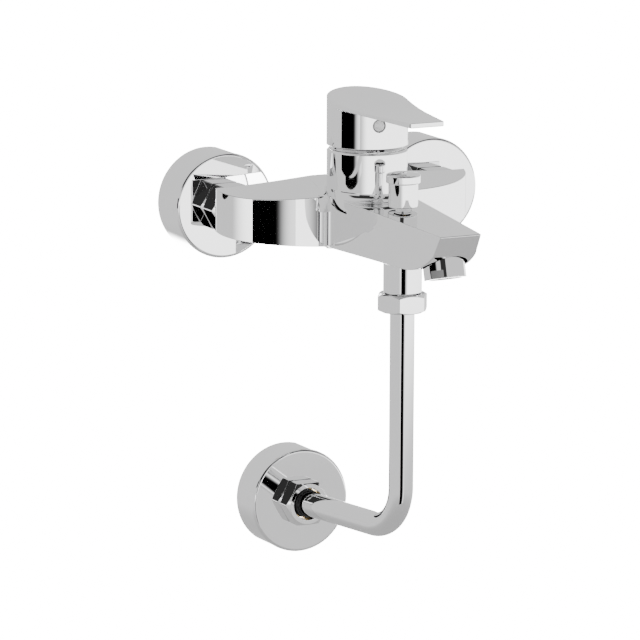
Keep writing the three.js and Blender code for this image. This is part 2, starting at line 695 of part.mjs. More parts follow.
function handleLever() {
  const top = [
    [LEVER_TIP_D, leverTop(LEVER_TIP_D)],
    ...arc(9, LEVER_FLAT_D, SKIRT_BACK_D, (d) => [d, leverTop(d)]),
  ];
  const frontOfSkirt = BODY_D + SKIRT_R;
  const plate = common(
    planPrism(leverPlan(), SKIRT_BOTTOM, 90),
    sidePrism(
      [[SKIRT_BACK_D, LEVER_NECK_BOTTOM], [frontOfSkirt - 15, LEVER_NECK_BOTTOM],
        [LEVER_TIP_D, LEVER_TIP_BOTTOM], ...top],
      60,
    ),
  );
  const skirt = common(
    atNeck(rod(SKIRT_R, SKIRT_BOTTOM, 90, FINE)),
    sidePrism([[SKIRT_BACK_D - 1, SKIRT_BOTTOM], [LEVER_TIP_D, SKIRT_BOTTOM], ...top,
      [SKIRT_BACK_D - 1, leverTop(SKIRT_BACK_D)]], 60),
  );
  const inside = atNeck(rod(SKIRT_R - SKIRT_WALL, SKIRT_BOTTOM - 1, SKIRT_CEILING, FINE));
  const shell = cut(join(plate, skirt), inside);
  const hub = common(
    leaning(rod(HUB_R, PIVOT_Z + HUB_START, PIVOT_Z + 60, COARSE)),
    atNeck(rod(SKIRT_R - 1, SKIRT_BOTTOM, SKIRT_CEILING + 1, MEDIUM)),
  );
  const boss = atIndex(rod(INDEX_HOLE_R + 2, HUB_R, SKIRT_R - 1.2, COARSE));
  const socketSide = SPINDLE_SIDE + 2 * GAP;
  const socket = leaning(
    box(socketSide, socketSide, PIVOT_Z + HUB_START - 9, PIVOT_Z + SPINDLE_UP + GAP),
  );
  const grubHole = atIndex(rod(GRUB_R + 0.1, SPINDLE_SIDE / 2, SKIRT_R, COARSE));
  const counterbore = atIndex(rod(INDEX_HOLE_R, SKIRT_R - INDEX_HOLE_DEPTH, SKIRT_R + 3, COARSE));
  return cut(join(shell, hub, boss), socket, grubHole, counterbore);
}

// Clamps the handle to the spindle, which leans forward at this height.
function handleGrubScrew() {
  const spindleFront =
    Math.tan(REST_TILT * RAD) * (INDEX_Z - PIVOT_Z) + SPINDLE_SIDE / 2 / Math.cos(REST_TILT * RAD);
  const start = spindleFront + 1.3;
  const screw = rod(GRUB_R, start, start + GRUB_LENGTH, COARSE);
  const key = hexBar(GRUB_R, start + GRUB_LENGTH - 3, start + GRUB_LENGTH + 2);
  return atIndex(cut(screw, key));
}

function indexButton() {
  const seat = SKIRT_R - INDEX_HOLE_DEPTH + GAP;
  const rim = SKIRT_R - 0.2;
  const profile = [
    [0, seat],
    [INDEX_R, seat],
    [INDEX_R, rim - 0.6],
    [INDEX_R - 0.5, rim + 0.1],
    [INDEX_R - 1.7, rim + 0.7],
    [0, rim + 1],
  ];
  return atIndex(revolve(profile, COARSE));
}

// ---- Diverter ---------------------------------------------------------------------------------

function diverterKnob() {
  const profile = [
    [ROD_R + ROD_CLEARANCE, KNOB_BOTTOM],
    [KNOB_STEM_R - 0.4, KNOB_BOTTOM],
    [KNOB_STEM_R, KNOB_BOTTOM + 0.4],
    [KNOB_STEM_R, KNOB_RIM - 0.6],
    [KNOB_R - 0.5, KNOB_RIM],
    [KNOB_R, KNOB_RIM + 0.5],
    [KNOB_R, KNOB_TOP - 2.4],
    [KNOB_R - 0.7, KNOB_TOP - 1.5],
    [KNOB_R - 3.5, KNOB_TOP - 0.5],
    [0, KNOB_TOP],
    [0, ROD_TOP + GAP],
    [ROD_R + ROD_CLEARANCE, ROD_TOP + GAP],
    [ROD_R + ROD_CLEARANCE, KNOB_BOTTOM],
  ];
  return atDiverter(revolve(profile, MEDIUM));
}

const sealTop = LOWER_SEAT_Z + GAP + VALVE_THICKNESS;
const plateTop = sealTop + GAP + 1;

function diverterRod() {
  const profile = [
    [0, ROD_BOTTOM],
    [ROD_FOOT_R, ROD_BOTTOM],
    [ROD_FOOT_R, LOWER_SEAT_Z],
    [ROD_R, LOWER_SEAT_Z],
    [ROD_R, ROD_TOP],
    [0, ROD_TOP],
  ];
  return atDiverter(revolve(profile, COARSE));
}

function diverterBonnet() {
  const surface = spoutTopAt(DIVERTER_D - BONNET_R) + GAP;
  const profile = [
    [ROD_R + ROD_CLEARANCE, O_RING_GROOVE_TOP],
    [O_RING_GROOVE_R, O_RING_GROOVE_TOP],
    [O_RING_GROOVE_R, BONNET_BOTTOM],
    [UPPER_SEAT_R - GAP, BONNET_BOTTOM],
    [UPPER_SEAT_R - GAP, surface],
    [BONNET_R, surface],
    [BONNET_R, BONNET_TOP],
    [ROD_R + ROD_CLEARANCE, BONNET_TOP],
    [ROD_R + ROD_CLEARANCE, O_RING_GROOVE_TOP],
  ];
  return atDiverter(revolve(profile, COARSE));
}

function diverterORing() {
  const middle = (ROD_R + O_RING_GROOVE_R) / 2 + 0.1;
  const height = (BONNET_BOTTOM + O_RING_GROOVE_TOP) / 2;
  return atDiverter(
    new THREE.TorusGeometry(middle, O_RING_SECTION_R, 8, COARSE).translate(0, 0, height),
  );
}

const onRod = (outer, low, high) => atDiverter(ring(ROD_R + ROD_CLEARANCE, outer, low, high, COARSE));
const diverterValveSeal = () => onRod(VALVE_R, LOWER_SEAT_Z + GAP, sealTop);
const diverterValvePlate = () => onRod(VALVE_PLATE_R, sealTop + GAP, plateTop);

// A helix of round wire between the valve plate and the bonnet.
class Helix extends THREE.Curve {
  constructor(radius, turns, low, high) {
    super();
    Object.assign(this, { radius, turns, low, high });
  }
  getPoint(t, target = new THREE.Vector3()) {
    const a = 2 * Math.PI * this.turns * t;
    const z = this.low + (this.high - this.low) * t;
    return target.set(this.radius * Math.cos(a), this.radius * Math.sin(a), z);
  }
}

function diverterSpring() {
  const clear = GAP + SPRING_WIRE;
  const path = new Helix(SPRING_R, SPRING_TURNS, plateTop + clear, BONNET_BOTTOM - clear);
  const wire = outlineShape(
    arc(5, 0, 300, (a) => [SPRING_WIRE * Math.cos(a * RAD), SPRING_WIRE * Math.sin(a * RAD)]),
  );
  const steps = 12 * SPRING_TURNS;
  return atDiverter(new THREE.ExtrudeGeometry(wire, { steps, extrudePath: path }));
}

// ---- Aerator ----------------------------------------------------------------------------------

const insertTop = AERATOR_LENGTH - AERATOR_NECK;

function aeratorHousing() {
  const threadTop = AERATOR_LENGTH + AERATOR_THREAD;
  const profile = [
    [AERATOR_BORE, 0],
    [AERATOR_R - 0.4, 0],
    [AERATOR_R, 0.4],
    [AERATOR_R, AERATOR_LENGTH - 0.6],
    [AERATOR_R - 0.6, AERATOR_LENGTH],
    [AERATOR_THREAD_R, AERATOR_LENGTH],
    [AERATOR_THREAD_R, threadTop],
    [AERATOR_NECK_BORE, threadTop],
    [AERATOR_NECK_BORE, insertTop],
    [AERATOR_BORE, insertTop],
    [AERATOR_BORE, 0],
  ];
  const cutter = 6;
  const flats = [0, 180].map((turn) =>
    new THREE.BoxGeometry(3 * AERATOR_R, cutter, WRENCH_FLAT_LENGTH * 2)
      .translate(0, -(WRENCH_FLAT_AF + cutter) / 2, 0)
      .rotateZ((WRENCH_FLAT_AZIMUTH + turn) * RAD),
  );
  return atAerator(cut(revolve(profile, FINE), ...flats));
}

// Strainer core: concentric rings joined by a cross.
function aeratorInsert() {
  const outer = AERATOR_BORE - GAP;
  const wall = 1.2;
  const low = 1.2;
  const floor = low + 2;
  const cup = cut(
    rod(outer, low, insertTop - GAP, MEDIUM),
    rod(outer - wall, floor, insertTop, MEDIUM),
  );
  const slots = [outer * 0.3, outer * 0.61].map((r) =>
    ring(r, r + outer * 0.18, low - 1, floor + 1, COARSE),
  );
  const cross = [0, 90].map((a) => box(2 * outer - wall, wall, low, floor).rotateZ(a * RAD));
  return atAerator(join(cut(cup, ...slots), ...cross));
}

function aeratorSeal() {
  const low = AERATOR_LENGTH + AERATOR_THREAD + GAP;
  return atAerator(ring(AERATOR_NECK_BORE, AERATOR_THREAD_R, low, low + AERATOR_SEAL));
}

// ---- Outlet, riser pipe and wall connection ------------------------------------------------------

const threadBottom = COLLAR_BOTTOM - OUTLET_THREAD_LENGTH;
const riserNutTop = COLLAR_BOTTOM - GAP;
const pipeTop = threadBottom - WASHER_THICKNESS - 2 * GAP;
const riserNutBottom = pipeTop - PIPE_RING_LENGTH - GAP - RISER_NUT_LIP;

// Its top is the diverter's lower seat.
function showerOutletNipple() {
  const profile = [
    [OUTLET_BORE, threadBottom],
    [OUTLET_THREAD_R, threadBottom],
    [OUTLET_THREAD_R, COLLAR_BOTTOM],
    [COLLAR_R - 0.6, COLLAR_BOTTOM],
    [COLLAR_R, COLLAR_BOTTOM + 0.6],
    [COLLAR_R, BODY_BOTTOM - GAP],
    [OUTLET_THREAD_R, BODY_BOTTOM - GAP],
    [OUTLET_THREAD_R, LOWER_SEAT_Z],
    [OUTLET_BORE, LOWER_SEAT_Z],
    [OUTLET_BORE, threadBottom],
  ];
  return atDiverter(revolve(profile));
}

function pipeUnionNut() {
  const hex = hexBar(RISER_NUT_AF, riserNutBottom, riserNutTop).rotateZ(RISER_NUT_TURN * RAD);
  const thread = rod(OUTLET_THREAD_R + GAP, riserNutBottom + RISER_NUT_LIP, riserNutTop + 1);
  const mouth = rod(PIPE_R + GAP, riserNutBottom - 1, riserNutTop);
  return atDiverter(cut(hex, thread, mouth));
}

const pipeUnionWasher = () =>
  atDiverter(ring(OUTLET_BORE, PIPE_RING_R, pipeTop + GAP, threadBottom - GAP, COARSE));
const pipeRetainingRing = () =>
  atDiverter(ring(PIPE_R + GAP, PIPE_RING_R, pipeTop - PIPE_RING_LENGTH, pipeTop, COARSE));

// The lower leg runs back to the wall outlet, which lies to one side of the diverter.
const legCrossing = WALL_OUTLET_DEPTH + WALL_NUT_LENGTH * 0.6; // pipe and nut axes cross here
const legReach = DIVERTER_D - legCrossing;
const legAngle = Math.atan2(WALL_OUTLET_X, legReach);
const legPoint = (distance) => [
  (WALL_OUTLET_X * (DIVERTER_D - distance)) / legReach,
  distance,
  WALL_OUTLET_Z,
];
const slant = (radius) => radius * Math.sin(Math.abs(legAngle));
const nippleEnd = WALL_OUTLET_DEPTH + PIPE_INSERTION;
const pipeEndD = nippleEnd + GAP + slant(PIPE_R);

// Straight down, a quarter bend, and straight to the wall.
class RiserPath extends THREE.CurvePath {
  constructor() {
    super();
    const top = new THREE.Vector3(0, -DIVERTER_D, pipeTop);
    const bendTop = new THREE.Vector3(0, -DIVERTER_D, WALL_OUTLET_Z + PIPE_BEND_R);
    const toWall = new THREE.Vector3(Math.sin(legAngle), Math.cos(legAngle), 0);
    const [x, d, z] = legPoint(pipeEndD);
    const end = new THREE.Vector3(x, -d, z);
    this.add(new THREE.LineCurve3(top, bendTop));
    this.add(new QuarterBend(bendTop, toWall, PIPE_BEND_R));
    this.add(new THREE.LineCurve3(this.curves[1].getPoint(1), end));
  }
}

class QuarterBend extends THREE.Curve {
  constructor(start, side, radius) {
    super();
    Object.assign(this, { start, side, radius });
  }
  getPoint(t, target = new THREE.Vector3()) {
    const a = (Math.PI / 2) * t;
    return target
      .copy(this.start)
      .addScaledVector(this.side, this.radius * (1 - Math.cos(a)))
      .add(new THREE.Vector3(0, 0, -this.radius * Math.sin(a)));
  }
}

function outletPipe() {
  const circle = (radius) =>
    arc(COARSE - 1, 0, 360 - 360 / COARSE, (a) => [
      radius * Math.cos(a * RAD),
      radius * Math.sin(a * RAD),
    ]);
  const section = outlineShape(circle(PIPE_R));
  section.holes.push(outlineShape(circle(PIPE_R - PIPE_WALL)));
  return new THREE.ExtrudeGeometry(section, { steps: 30, extrudePath: new RiserPath() });
}

function pipeWallNut() {
  const low = WALL_OUTLET_DEPTH + GAP;
  const nut = cut(
    hexBar(WALL_NUT_AF, low, low + WALL_NUT_LENGTH),
    rod(WALL_NUT_BORE, low - 1, low + WALL_NUT_LENGTH + 1, MEDIUM),
  );
  return outOfWall(nut, WALL_OUTLET_X, WALL_OUTLET_Z);
}

function pipeWallNipple() {
  const nipple = ring(TAIL_BORE, WALL_NIPPLE_R, -TAIL_LENGTH, nippleEnd, COARSE);
  return outOfWall(nipple, WALL_OUTLET_X, WALL_OUTLET_Z);
}

// Soft ring on the pipe's own axis. It takes up the angle between the pipe and the wall nipple.
function pipeCompressionRing() {
  const outer = PIPE_R + COMPRESSION_RING_WALL;
  const [x, d, z] = legPoint(nippleEnd + GAP + slant(outer));
  return ring(PIPE_R + GAP, outer, 0, COMPRESSION_RING_LENGTH, COARSE)
    .rotateX(Math.PI / 2)
    .rotateZ(-legAngle)
    .translate(x, -d, z);
}

// ---- Assembly ---------------------------------------------------------------------------------

const faucet = new THREE.Group();

function addPiece(name, geometry, material) {
  const mesh = new THREE.Mesh(geometry, material);
  mesh.name = name;
  faucet.add(mesh);
}

for (const [side, sign] of [["left", -1], ["right", 1]]) {
  const x = sign * INLET_X;
  const inletParts = [
    ["wall_flange", wallFlange(FLANGE_DEPTH, UNION_HEAD_R + GAP), CHROME],
    ["eccentric_union", eccentricUnion(), BRASS],
    ["union_nut", unionNut(), CHROME],
    ["filter_washer", filterWasher(), RUBBER],
    ["inlet_nipple", inletNipple(), BRASS],
  ];
  for (const [name, geometry, material] of inletParts)
    addPiece(`${side}_${name}`, outOfWall(geometry, x, 0), material);
}

addPiece("body_casting", bodyCasting(), CHROME);
addPiece("cartridge_base_seal", cartridgeBaseSeal(), RUBBER);
addPiece("cartridge_base", cartridgeBase(), PLASTIC);
addPiece("fixed_ceramic_disc", fixedCeramicDisc(), CERAMIC);
addPiece("moving_ceramic_disc", movingCeramicDisc(), CERAMIC);
addPiece("moving_disc_holder", movingDiscHolder(), PLASTIC);
addPiece("cartridge_housing", cartridgeHousing(), PLASTIC);
addPiece("cartridge_carrier", cartridgeCarrier(), PLASTIC);
addPiece("spindle_pivot_pin", spindlePivotPin(), STEEL);
addPiece("cartridge_spindle", cartridgeSpindle(), BRASS);
addPiece("cartridge_retaining_nut", cartridgeRetainingNut(), BRASS);
addPiece("cover_dome_ring", coverDomeRing(), CHROME);
addPiece("handle_lever", handleLever(), CHROME);
addPiece("handle_grub_screw", handleGrubScrew(), STEEL);
addPiece("index_button", indexButton(), INDEX_WHITE);

addPiece("diverter_knob", diverterKnob(), CHROME);
addPiece("diverter_rod", diverterRod(), BRASS);
addPiece("diverter_bonnet", diverterBonnet(), CHROME);
addPiece("diverter_o_ring", diverterORing(), RUBBER);
addPiece("diverter_spring", diverterSpring(), STEEL);
addPiece("diverter_valve_plate", diverterValvePlate(), BRASS);
addPiece("diverter_valve_seal", diverterValveSeal(), RUBBER);

addPiece("aerator_housing", aeratorHousing(), CHROME);
addPiece("aerator_insert", aeratorInsert(), PLASTIC);
addPiece("aerator_seal", aeratorSeal(), RUBBER);

addPiece("shower_outlet_nipple", showerOutletNipple(), CHROME);
addPiece("pipe_union_nut", pipeUnionNut(), CHROME);
addPiece("pipe_union_washer", pipeUnionWasher(), RUBBER);
addPiece("pipe_retaining_ring", pipeRetainingRing(), BRASS);
addPiece("outlet_pipe", outletPipe(), CHROME);
addPiece("pipe_compression_ring", pipeCompressionRing(), RUBBER);
addPiece("pipe_wall_nut", pipeWallNut(), CHROME);
addPiece("pipe_wall_nipple", pipeWallNipple(), BRASS);
addPiece(
  "pipe_wall_flange",
  outOfWall(wallFlange(WALL_OUTLET_DEPTH, WALL_NIPPLE_R + GAP), WALL_OUTLET_X, WALL_OUTLET_Z),
  CHROME,
);

export default faucet;
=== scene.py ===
import json
import math

import bpy
import numpy as np
from mathutils import Matrix, Vector
from mathutils.bvhtree import BVHTree


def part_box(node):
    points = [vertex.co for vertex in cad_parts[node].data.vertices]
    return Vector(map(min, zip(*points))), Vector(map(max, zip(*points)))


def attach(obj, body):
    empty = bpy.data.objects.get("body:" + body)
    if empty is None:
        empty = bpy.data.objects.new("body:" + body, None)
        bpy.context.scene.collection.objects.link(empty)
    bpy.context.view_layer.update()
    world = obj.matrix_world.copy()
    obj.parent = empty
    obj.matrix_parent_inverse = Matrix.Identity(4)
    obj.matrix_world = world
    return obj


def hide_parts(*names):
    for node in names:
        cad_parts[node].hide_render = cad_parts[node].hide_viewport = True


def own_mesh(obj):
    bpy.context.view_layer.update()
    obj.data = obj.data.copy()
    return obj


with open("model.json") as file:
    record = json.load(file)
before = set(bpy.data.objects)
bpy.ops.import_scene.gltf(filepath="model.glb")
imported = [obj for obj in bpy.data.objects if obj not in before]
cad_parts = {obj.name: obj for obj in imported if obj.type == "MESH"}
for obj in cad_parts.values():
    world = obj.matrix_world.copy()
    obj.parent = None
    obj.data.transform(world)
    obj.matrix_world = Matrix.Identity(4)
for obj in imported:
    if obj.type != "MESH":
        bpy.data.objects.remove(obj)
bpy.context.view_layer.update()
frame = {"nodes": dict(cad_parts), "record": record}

MM = 0.001
RAD = math.pi / 180
FINE = 160  # facets round a turned piece
ARC = 6  # steps in a rounded corner


def size_of(node):
    """Lowest and highest corner of a CAD node, in millimetres."""
    low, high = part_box(node)
    return [c / MM for c in low], [c / MM for c in high]


def centre_of(node):
    low, high = size_of(node)
    return [(a + b) / 2 for a, b in zip(low, high)]


# ---- Profiles ----------------------------------------------------------------------------------

def rounded(corners, closed=True, steps=ARC):
    """Rounds the corners (x, y, radius) of a counter-clockwise outline. Rows of x, y, nx, ny."""
    rows = []
    count = len(corners)
    for i, (x, y, radius) in enumerate(corners):
        here = np.array([x, y], float)
        before = np.array(corners[i - 1][:2], float)
        after = np.array(corners[(i + 1) % count][:2], float)
        into = (here - before) / max(np.linalg.norm(here - before), 1e-9)
        out = (after - here) / max(np.linalg.norm(after - here), 1e-9)
        if not closed and i == 0:
            rows.append((x, y, out[1], -out[0]))
            continue
        if not closed and i == count - 1:
            rows.append((x, y, into[1], -into[0]))
            continue
        turn = math.atan2(into[0] * out[1] - into[1] * out[0], into @ out)
        if abs(turn) < 1e-3 or radius <= 0:
            mean = (into + out) / np.linalg.norm(into + out)
            rows.append((x, y, mean[1], -mean[0]))
            continue
        back = radius * math.tan(abs(turn) / 2)
        back = min(back, 0.49 * np.linalg.norm(here - before), 0.49 * np.linalg.norm(after - here))
        radius = back / math.tan(abs(turn) / 2)
        side = math.copysign(1, turn)
        start = here - into * back
        centre = start + side * radius * np.array([-into[1], into[0]])
        for k in range(steps + 1):
            a = turn * k / steps
            direction = np.array([
                into[0] * math.cos(a) - into[1] * math.sin(a),
                into[0] * math.sin(a) + into[1] * math.cos(a),
            ])
            normal = np.array([direction[1], -direction[0]])
            point = centre + side * radius * normal
            rows.append((point[0], point[1], normal[0], normal[1]))
    return rows


class Skin:
    """A closed surface with a true normal at each vertex."""

    def __init__(self, verts, normals, faces):
        self.verts = np.array(verts, float)
        self.normals = np.array(normals, float)
        self.faces = faces

    def moved(self, matrix):
        m = np.array(matrix, float)
        verts = self.verts @ m[:3, :3].T + m[:3, 3]
        normals = self.normals @ np.linalg.inv(m[:3, :3])
        normals /= np.linalg.norm(normals, axis=1)[:, None]
        return Skin(verts, normals, self.faces)


def turned(profile, segments=FINE, closed=True):
    """Turns a profile of rows r, z, nr, nz about Z. An open profile starts and ends on the axis."""
    verts, normals, faces, rings = [], [], [], []
    for r, z, nr, nz in profile:
        if r < 1e-6:
            rings.append([len(verts)] * segments)
            verts.append((0, 0, z))
            normals.append((0, 0, math.copysign(1, nz)))
            continue
        rings.append(list(range(len(verts), len(verts) + segments)))
        for i in range(segments):
            a = 2 * math.pi * i / segments
            verts.append((r * math.cos(a), r * math.sin(a), z))
            normals.append((nr * math.cos(a), nr * math.sin(a), nz))
    last = len(rings) if closed else len(rings) - 1
    for k in range(last):
        low, high = rings[k], rings[(k + 1) % len(rings)]
        for i in range(segments):
            j = (i + 1) % segments
            corners = [low[i], low[j], high[j], high[i]]
            face = list(dict.fromkeys(corners))
            if len(face) > 2:
                faces.append(face)
    return Skin(verts, normals, faces)


def spun(corners, segments=FINE):
    """A turned solid from corners (r, z, radius) that start and end on the axis."""
    return turned(rounded(corners, closed=False), segments, closed=False)


def hollow(corners, segments=FINE):
    """A turned ring from a closed outline of corners (r, z, radius)."""
    return turned(rounded(corners), segments)


def rod(radius, low, high, edge=0.0, segments=FINE):
    return spun([(0, low, 0), (radius, low, edge), (radius, high, edge), (0, high, 0)], segments)


def grid(rows, tangents, wrap_rows, caps):
    """A skin over rows of points, each row a closed loop. Tangents run along the rows."""
    rows, tangents = np.array(rows, float), np.array(tangents, float)
    count, width = rows.shape[:2]
    if wrap_rows:
        along = np.roll(rows, -1, 0) - np.roll(rows, 1, 0)
    else:
        along = np.gradient(rows, axis=0)
    normals = np.cross(tangents, along)
    length = np.linalg.norm(normals, axis=2, keepdims=True)
    normals = normals / np.maximum(length, 1e-12)
    faces = []
    for k in range(count if wrap_rows else count - 1):
        a, b = k * width, ((k + 1) % count) * width
        for i in range(width):
            j = (i + 1) % width
            faces.append([a + i, a + j, b + j, b + i])
    if caps:
        faces.append(list(range(width))[::-1])
        faces.append([(count - 1) * width + i for i in range(width)])
    return Skin(rows.reshape(-1, 3), normals.reshape(-1, 3), faces)


def hex_radius(angle, flats, corner):
    """Distance from the axis to a hexagon's side, with its corners rounded to a radius."""
    a = (angle + math.pi / 6) % (math.pi / 3) - math.pi / 6  # 0 in a corner's direction
    sharp = flats / 2 / math.cos(math.pi / 6 - abs(a))
    inner = (flats / 2 - corner) / math.cos(math.pi / 6)
    b = inner * math.sin(a)
    if abs(b) < corner * 0.5:
        return min(sharp, inner * math.cos(a) + math.sqrt(corner**2 - b * b))
    return sharp


def hex_nut(flats, low, high, bore, corner=0.7, edge=0.35, face=0.3):
    """A hexagonal ring with its corners turned off to a cone at each end. Corners point along X."""
    rows, tangents = [], []
    steps = 240
    rim = flats / 2 - face
    for i in range(steps):
        a = 2 * math.pi * i / steps
        r = hex_radius(a, flats, corner)
        drop = max((r - rim) * math.tan(30 * RAD), 0.02)
        profile = rounded([
            (bore, low, 0.4), (rim, low, edge), (r, low + drop, edge),
            (r, high - drop, edge), (rim, high, edge), (bore, high, 0.4),
        ], steps=3)
        c, s = math.cos(a), math.sin(a)
        rows.append([(p[0] * c, p[0] * s, p[1]) for p in profile])
        tangents.append([(-p[3] * c, -p[3] * s, p[2]) for p in profile])
    return outward(grid(rows, tangents, True, False))


def outward(skin):
    """Flips a skin whose faces or normals point into the solid."""
    volume, agree = 0.0, 0.0
    for face in skin.faces:
        a = skin.verts[face[0]]
        for b, c in zip(face[1:-1], face[2:]):
            flat = np.cross(skin.verts[b] - a, skin.verts[c] - a)
            volume += a @ flat
            agree += flat @ skin.normals[face].sum(0) / len(face)
    if volume < 0:
        skin.faces = [f[::-1] for f in skin.faces]
    if volume * agree < 0:
        skin.normals = -skin.normals
    return skin


# ---- Placing -----------------------------------------------------------------------------------

def shift(x=0.0, d=0.0, z=0.0):
    return Matrix.Translation((x, -d, z))


def out_of_wall(x, z):
    """Turns a piece's +Z so that it points away from the wall."""
    return shift(x, 0, z) @ Matrix.Rotation(math.pi / 2, 4, "X")


# ---- Objects -----------------------------------------------------------------------------------

def mesh_from(skin, name):
    mesh = bpy.data.meshes.new(name)
    mesh.from_pydata((skin.verts * MM).tolist(), [], skin.faces)
    mesh.update()
    return mesh


def set_normals(mesh, corner_normals):
    mesh.shade_smooth()
    mesh.normals_split_custom_set([tuple(n) for n in corner_normals])


def piece(name, skin, material, body, nodes):
    """Makes a skin an object that rides on a body and stands for CAD nodes."""
    mesh = mesh_from(skin, name)
    corners = np.empty(len(mesh.loops), int)
    mesh.loops.foreach_get("vertex_index", corners)
    set_normals(mesh, skin.normals[corners])
    return settle(name, mesh, material, body, nodes)


def settle(name, mesh, material, body, nodes):
    obj = bpy.data.objects.new(name, mesh)
    bpy.context.scene.collection.objects.link(obj)
    mesh.materials.clear()
    mesh.materials.append(material)
    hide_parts(*nodes)
    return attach(obj, body)


def carve(name, steps, material, body, nodes):
    """Joins and cuts skins in turn. Each result face keeps the true normals of the skin it is from."""
    objects = []
    for index, (_, skin) in enumerate(steps):
        mesh = mesh_from(skin, f"{name}_step")
        for _ in range(index + 1):
            mesh.materials.append(None)
        mesh.polygons.foreach_set("material_index", [index] * len(mesh.polygons))
        objects.append(bpy.data.objects.new(f"{name}_step", mesh))
        bpy.context.scene.collection.objects.link(objects[-1])
    base = objects[0]
    while len(base.data.materials) < len(steps):
        base.data.materials.append(None)
    for (operation, _), tool in zip(steps[1:], objects[1:]):
        modifier = base.modifiers.new("step", "BOOLEAN")
        modifier.operation = operation
        modifier.solver = "MANIFOLD"
        modifier.object = tool
    evaluated = base.evaluated_get(bpy.context.evaluated_depsgraph_get())
    mesh = bpy.data.meshes.new_from_object(evaluated)
    mesh.name = name
    for o in objects:
        bpy.data.objects.remove(o)
    sources = []
    for operation, skin in steps:
        triangles = [(f[0], f[k], f[k + 1]) for f in skin.faces for k in range(1, len(f) - 1)]
        tree = BVHTree.FromPolygons([tuple(v * MM) for v in skin.verts], triangles)
        sources.append((tree, triangles, skin, -1 if operation == "DIFFERENCE" else 1))
    corner_normals = np.zeros((len(mesh.loops), 3))
    for polygon in mesh.polygons:
        tree, triangles, skin, sign = sources[polygon.material_index]
        for loop in polygon.loop_indices:
            corner = mesh.vertices[mesh.loops[loop].vertex_index].co
            near = corner.lerp(polygon.center, 0.02)
            spot, _, index, _ = tree.find_nearest(near)
            ids = list(triangles[index])
            weights = barycentric(spot, skin.verts[ids] * MM)
            normal = weights @ skin.normals[ids]
            corner_normals[loop] = sign * normal / np.linalg.norm(normal)
    mesh.polygons.foreach_set("material_index", [0] * len(mesh.polygons))
    set_normals(mesh, corner_normals)
    return settle(name, mesh, material, body, nodes)


def barycentric(point, triangle):
    a, b, c = triangle
    p = np.array(point) - a
    u, v = b - a, c - a
    uu, uv, vv, pu, pv = u @ u, u @ v, v @ v, p @ u, p @ v
    det = uu * vv - uv * uv
    if abs(det) < 1e-30:
        return np.array([1.0, 0.0, 0.0])
    s = min(max((vv * pu - uv * pv) / det, 0.0), 1.0)
    t = min(max((uu * pv - uv * pu) / det, 0.0), 1.0 - s)
    return np.array([1 - s - t, s, t])


# ---- Materials ---------------------------------------------------------------------------------

def surface(name, color, metallic, roughness, grain, spread, bump, coat=0.0):
    """A material whose roughness, tint and relief vary with fine noise in the object's own space."""
    material = bpy.data.materials.new(name)
    material.use_nodes = True
    nodes, links = material.node_tree.nodes, material.node_tree.links
    shader = nodes["Principled BSDF"]
    shader.inputs["Metallic"].default_value = metallic
    shader.inputs["Coat Weight"].default_value = coat
    place = nodes.new("ShaderNodeTexCoord")
    fine = nodes.new("ShaderNodeTexNoise")
    fine.inputs["Scale"].default_value = grain
    fine.inputs["Detail"].default_value = 4
    links.new(place.outputs["Object"], fine.inputs["Vector"])
    rough = nodes.new("ShaderNodeMapRange")
    rough.inputs["To Min"].default_value = max(roughness - spread, 0.0)
    rough.inputs["To Max"].default_value = roughness + spread
    links.new(fine.outputs["Fac"], rough.inputs["Value"])
    links.new(rough.outputs["Result"], shader.inputs["Roughness"])
    wide = nodes.new("ShaderNodeTexNoise")
    wide.inputs["Scale"].default_value = grain / 12
    links.new(place.outputs["Object"], wide.inputs["Vector"])
    tint = nodes.new("ShaderNodeValToRGB")
    tint.color_ramp.elements[0].position = 0.35
    tint.color_ramp.elements[1].position = 0.65
    tint.color_ramp.elements[0].color = (*[c * (1 - spread) for c in color], 1)
    tint.color_ramp.elements[1].color = (*color, 1)
    links.new(wide.outputs["Fac"], tint.inputs["Fac"])
    links.new(tint.outputs["Color"], shader.inputs["Base Color"])
    if bump:
        relief = nodes.new("ShaderNodeBump")
        relief.inputs["Strength"].default_value = bump
        relief.inputs["Distance"].default_value = 0.0001
        links.new(fine.outputs["Fac"], relief.inputs["Height"])
        links.new(relief.outputs["Normal"], shader.inputs["Normal"])
    return material


CHROME = surface("chrome", (0.86, 0.86, 0.865), 1.0, 0.018, 900, 0.008, 0.0)
BRASS = surface("brass", (0.72, 0.53, 0.25), 1.0, 0.32, 1400, 0.08, 0.25)
STEEL = surface("steel", (0.60, 0.61, 0.62), 1.0, 0.28, 1600, 0.08, 0.2)
CERAMIC = surface("ceramic", (0.86, 0.84, 0.79), 0.0, 0.3, 2200, 0.06, 0.1)
PLASTIC = surface("plastic", (0.42, 0.44, 0.47), 0.0, 0.45, 1500, 0.08, 0.25)
RUBBER = surface("rubber", (0.022, 0.022, 0.024), 0.0, 0.62, 1200, 0.1, 0.35)
INDEX_WHITE = surface("index_white", (0.86, 0.86, 0.86), 0.0, 0.16, 700, 0.04, 0.02, coat=0.4)

FINISHES = {
    "chrome": CHROME, "brass": BRASS, "steel": STEEL, "ceramic": CERAMIC,
    "plastic": PLASTIC, "rubber": RUBBER, "index": INDEX_WHITE,
}
for part in frame["record"]["subparts"]:
    cad = frame["nodes"][part["node"]]
    cad.data.materials.clear()
    cad.data.materials.append(FINISHES[part["material_slot"]])


# ---- Shared sizes ------------------------------------------------------------------------------

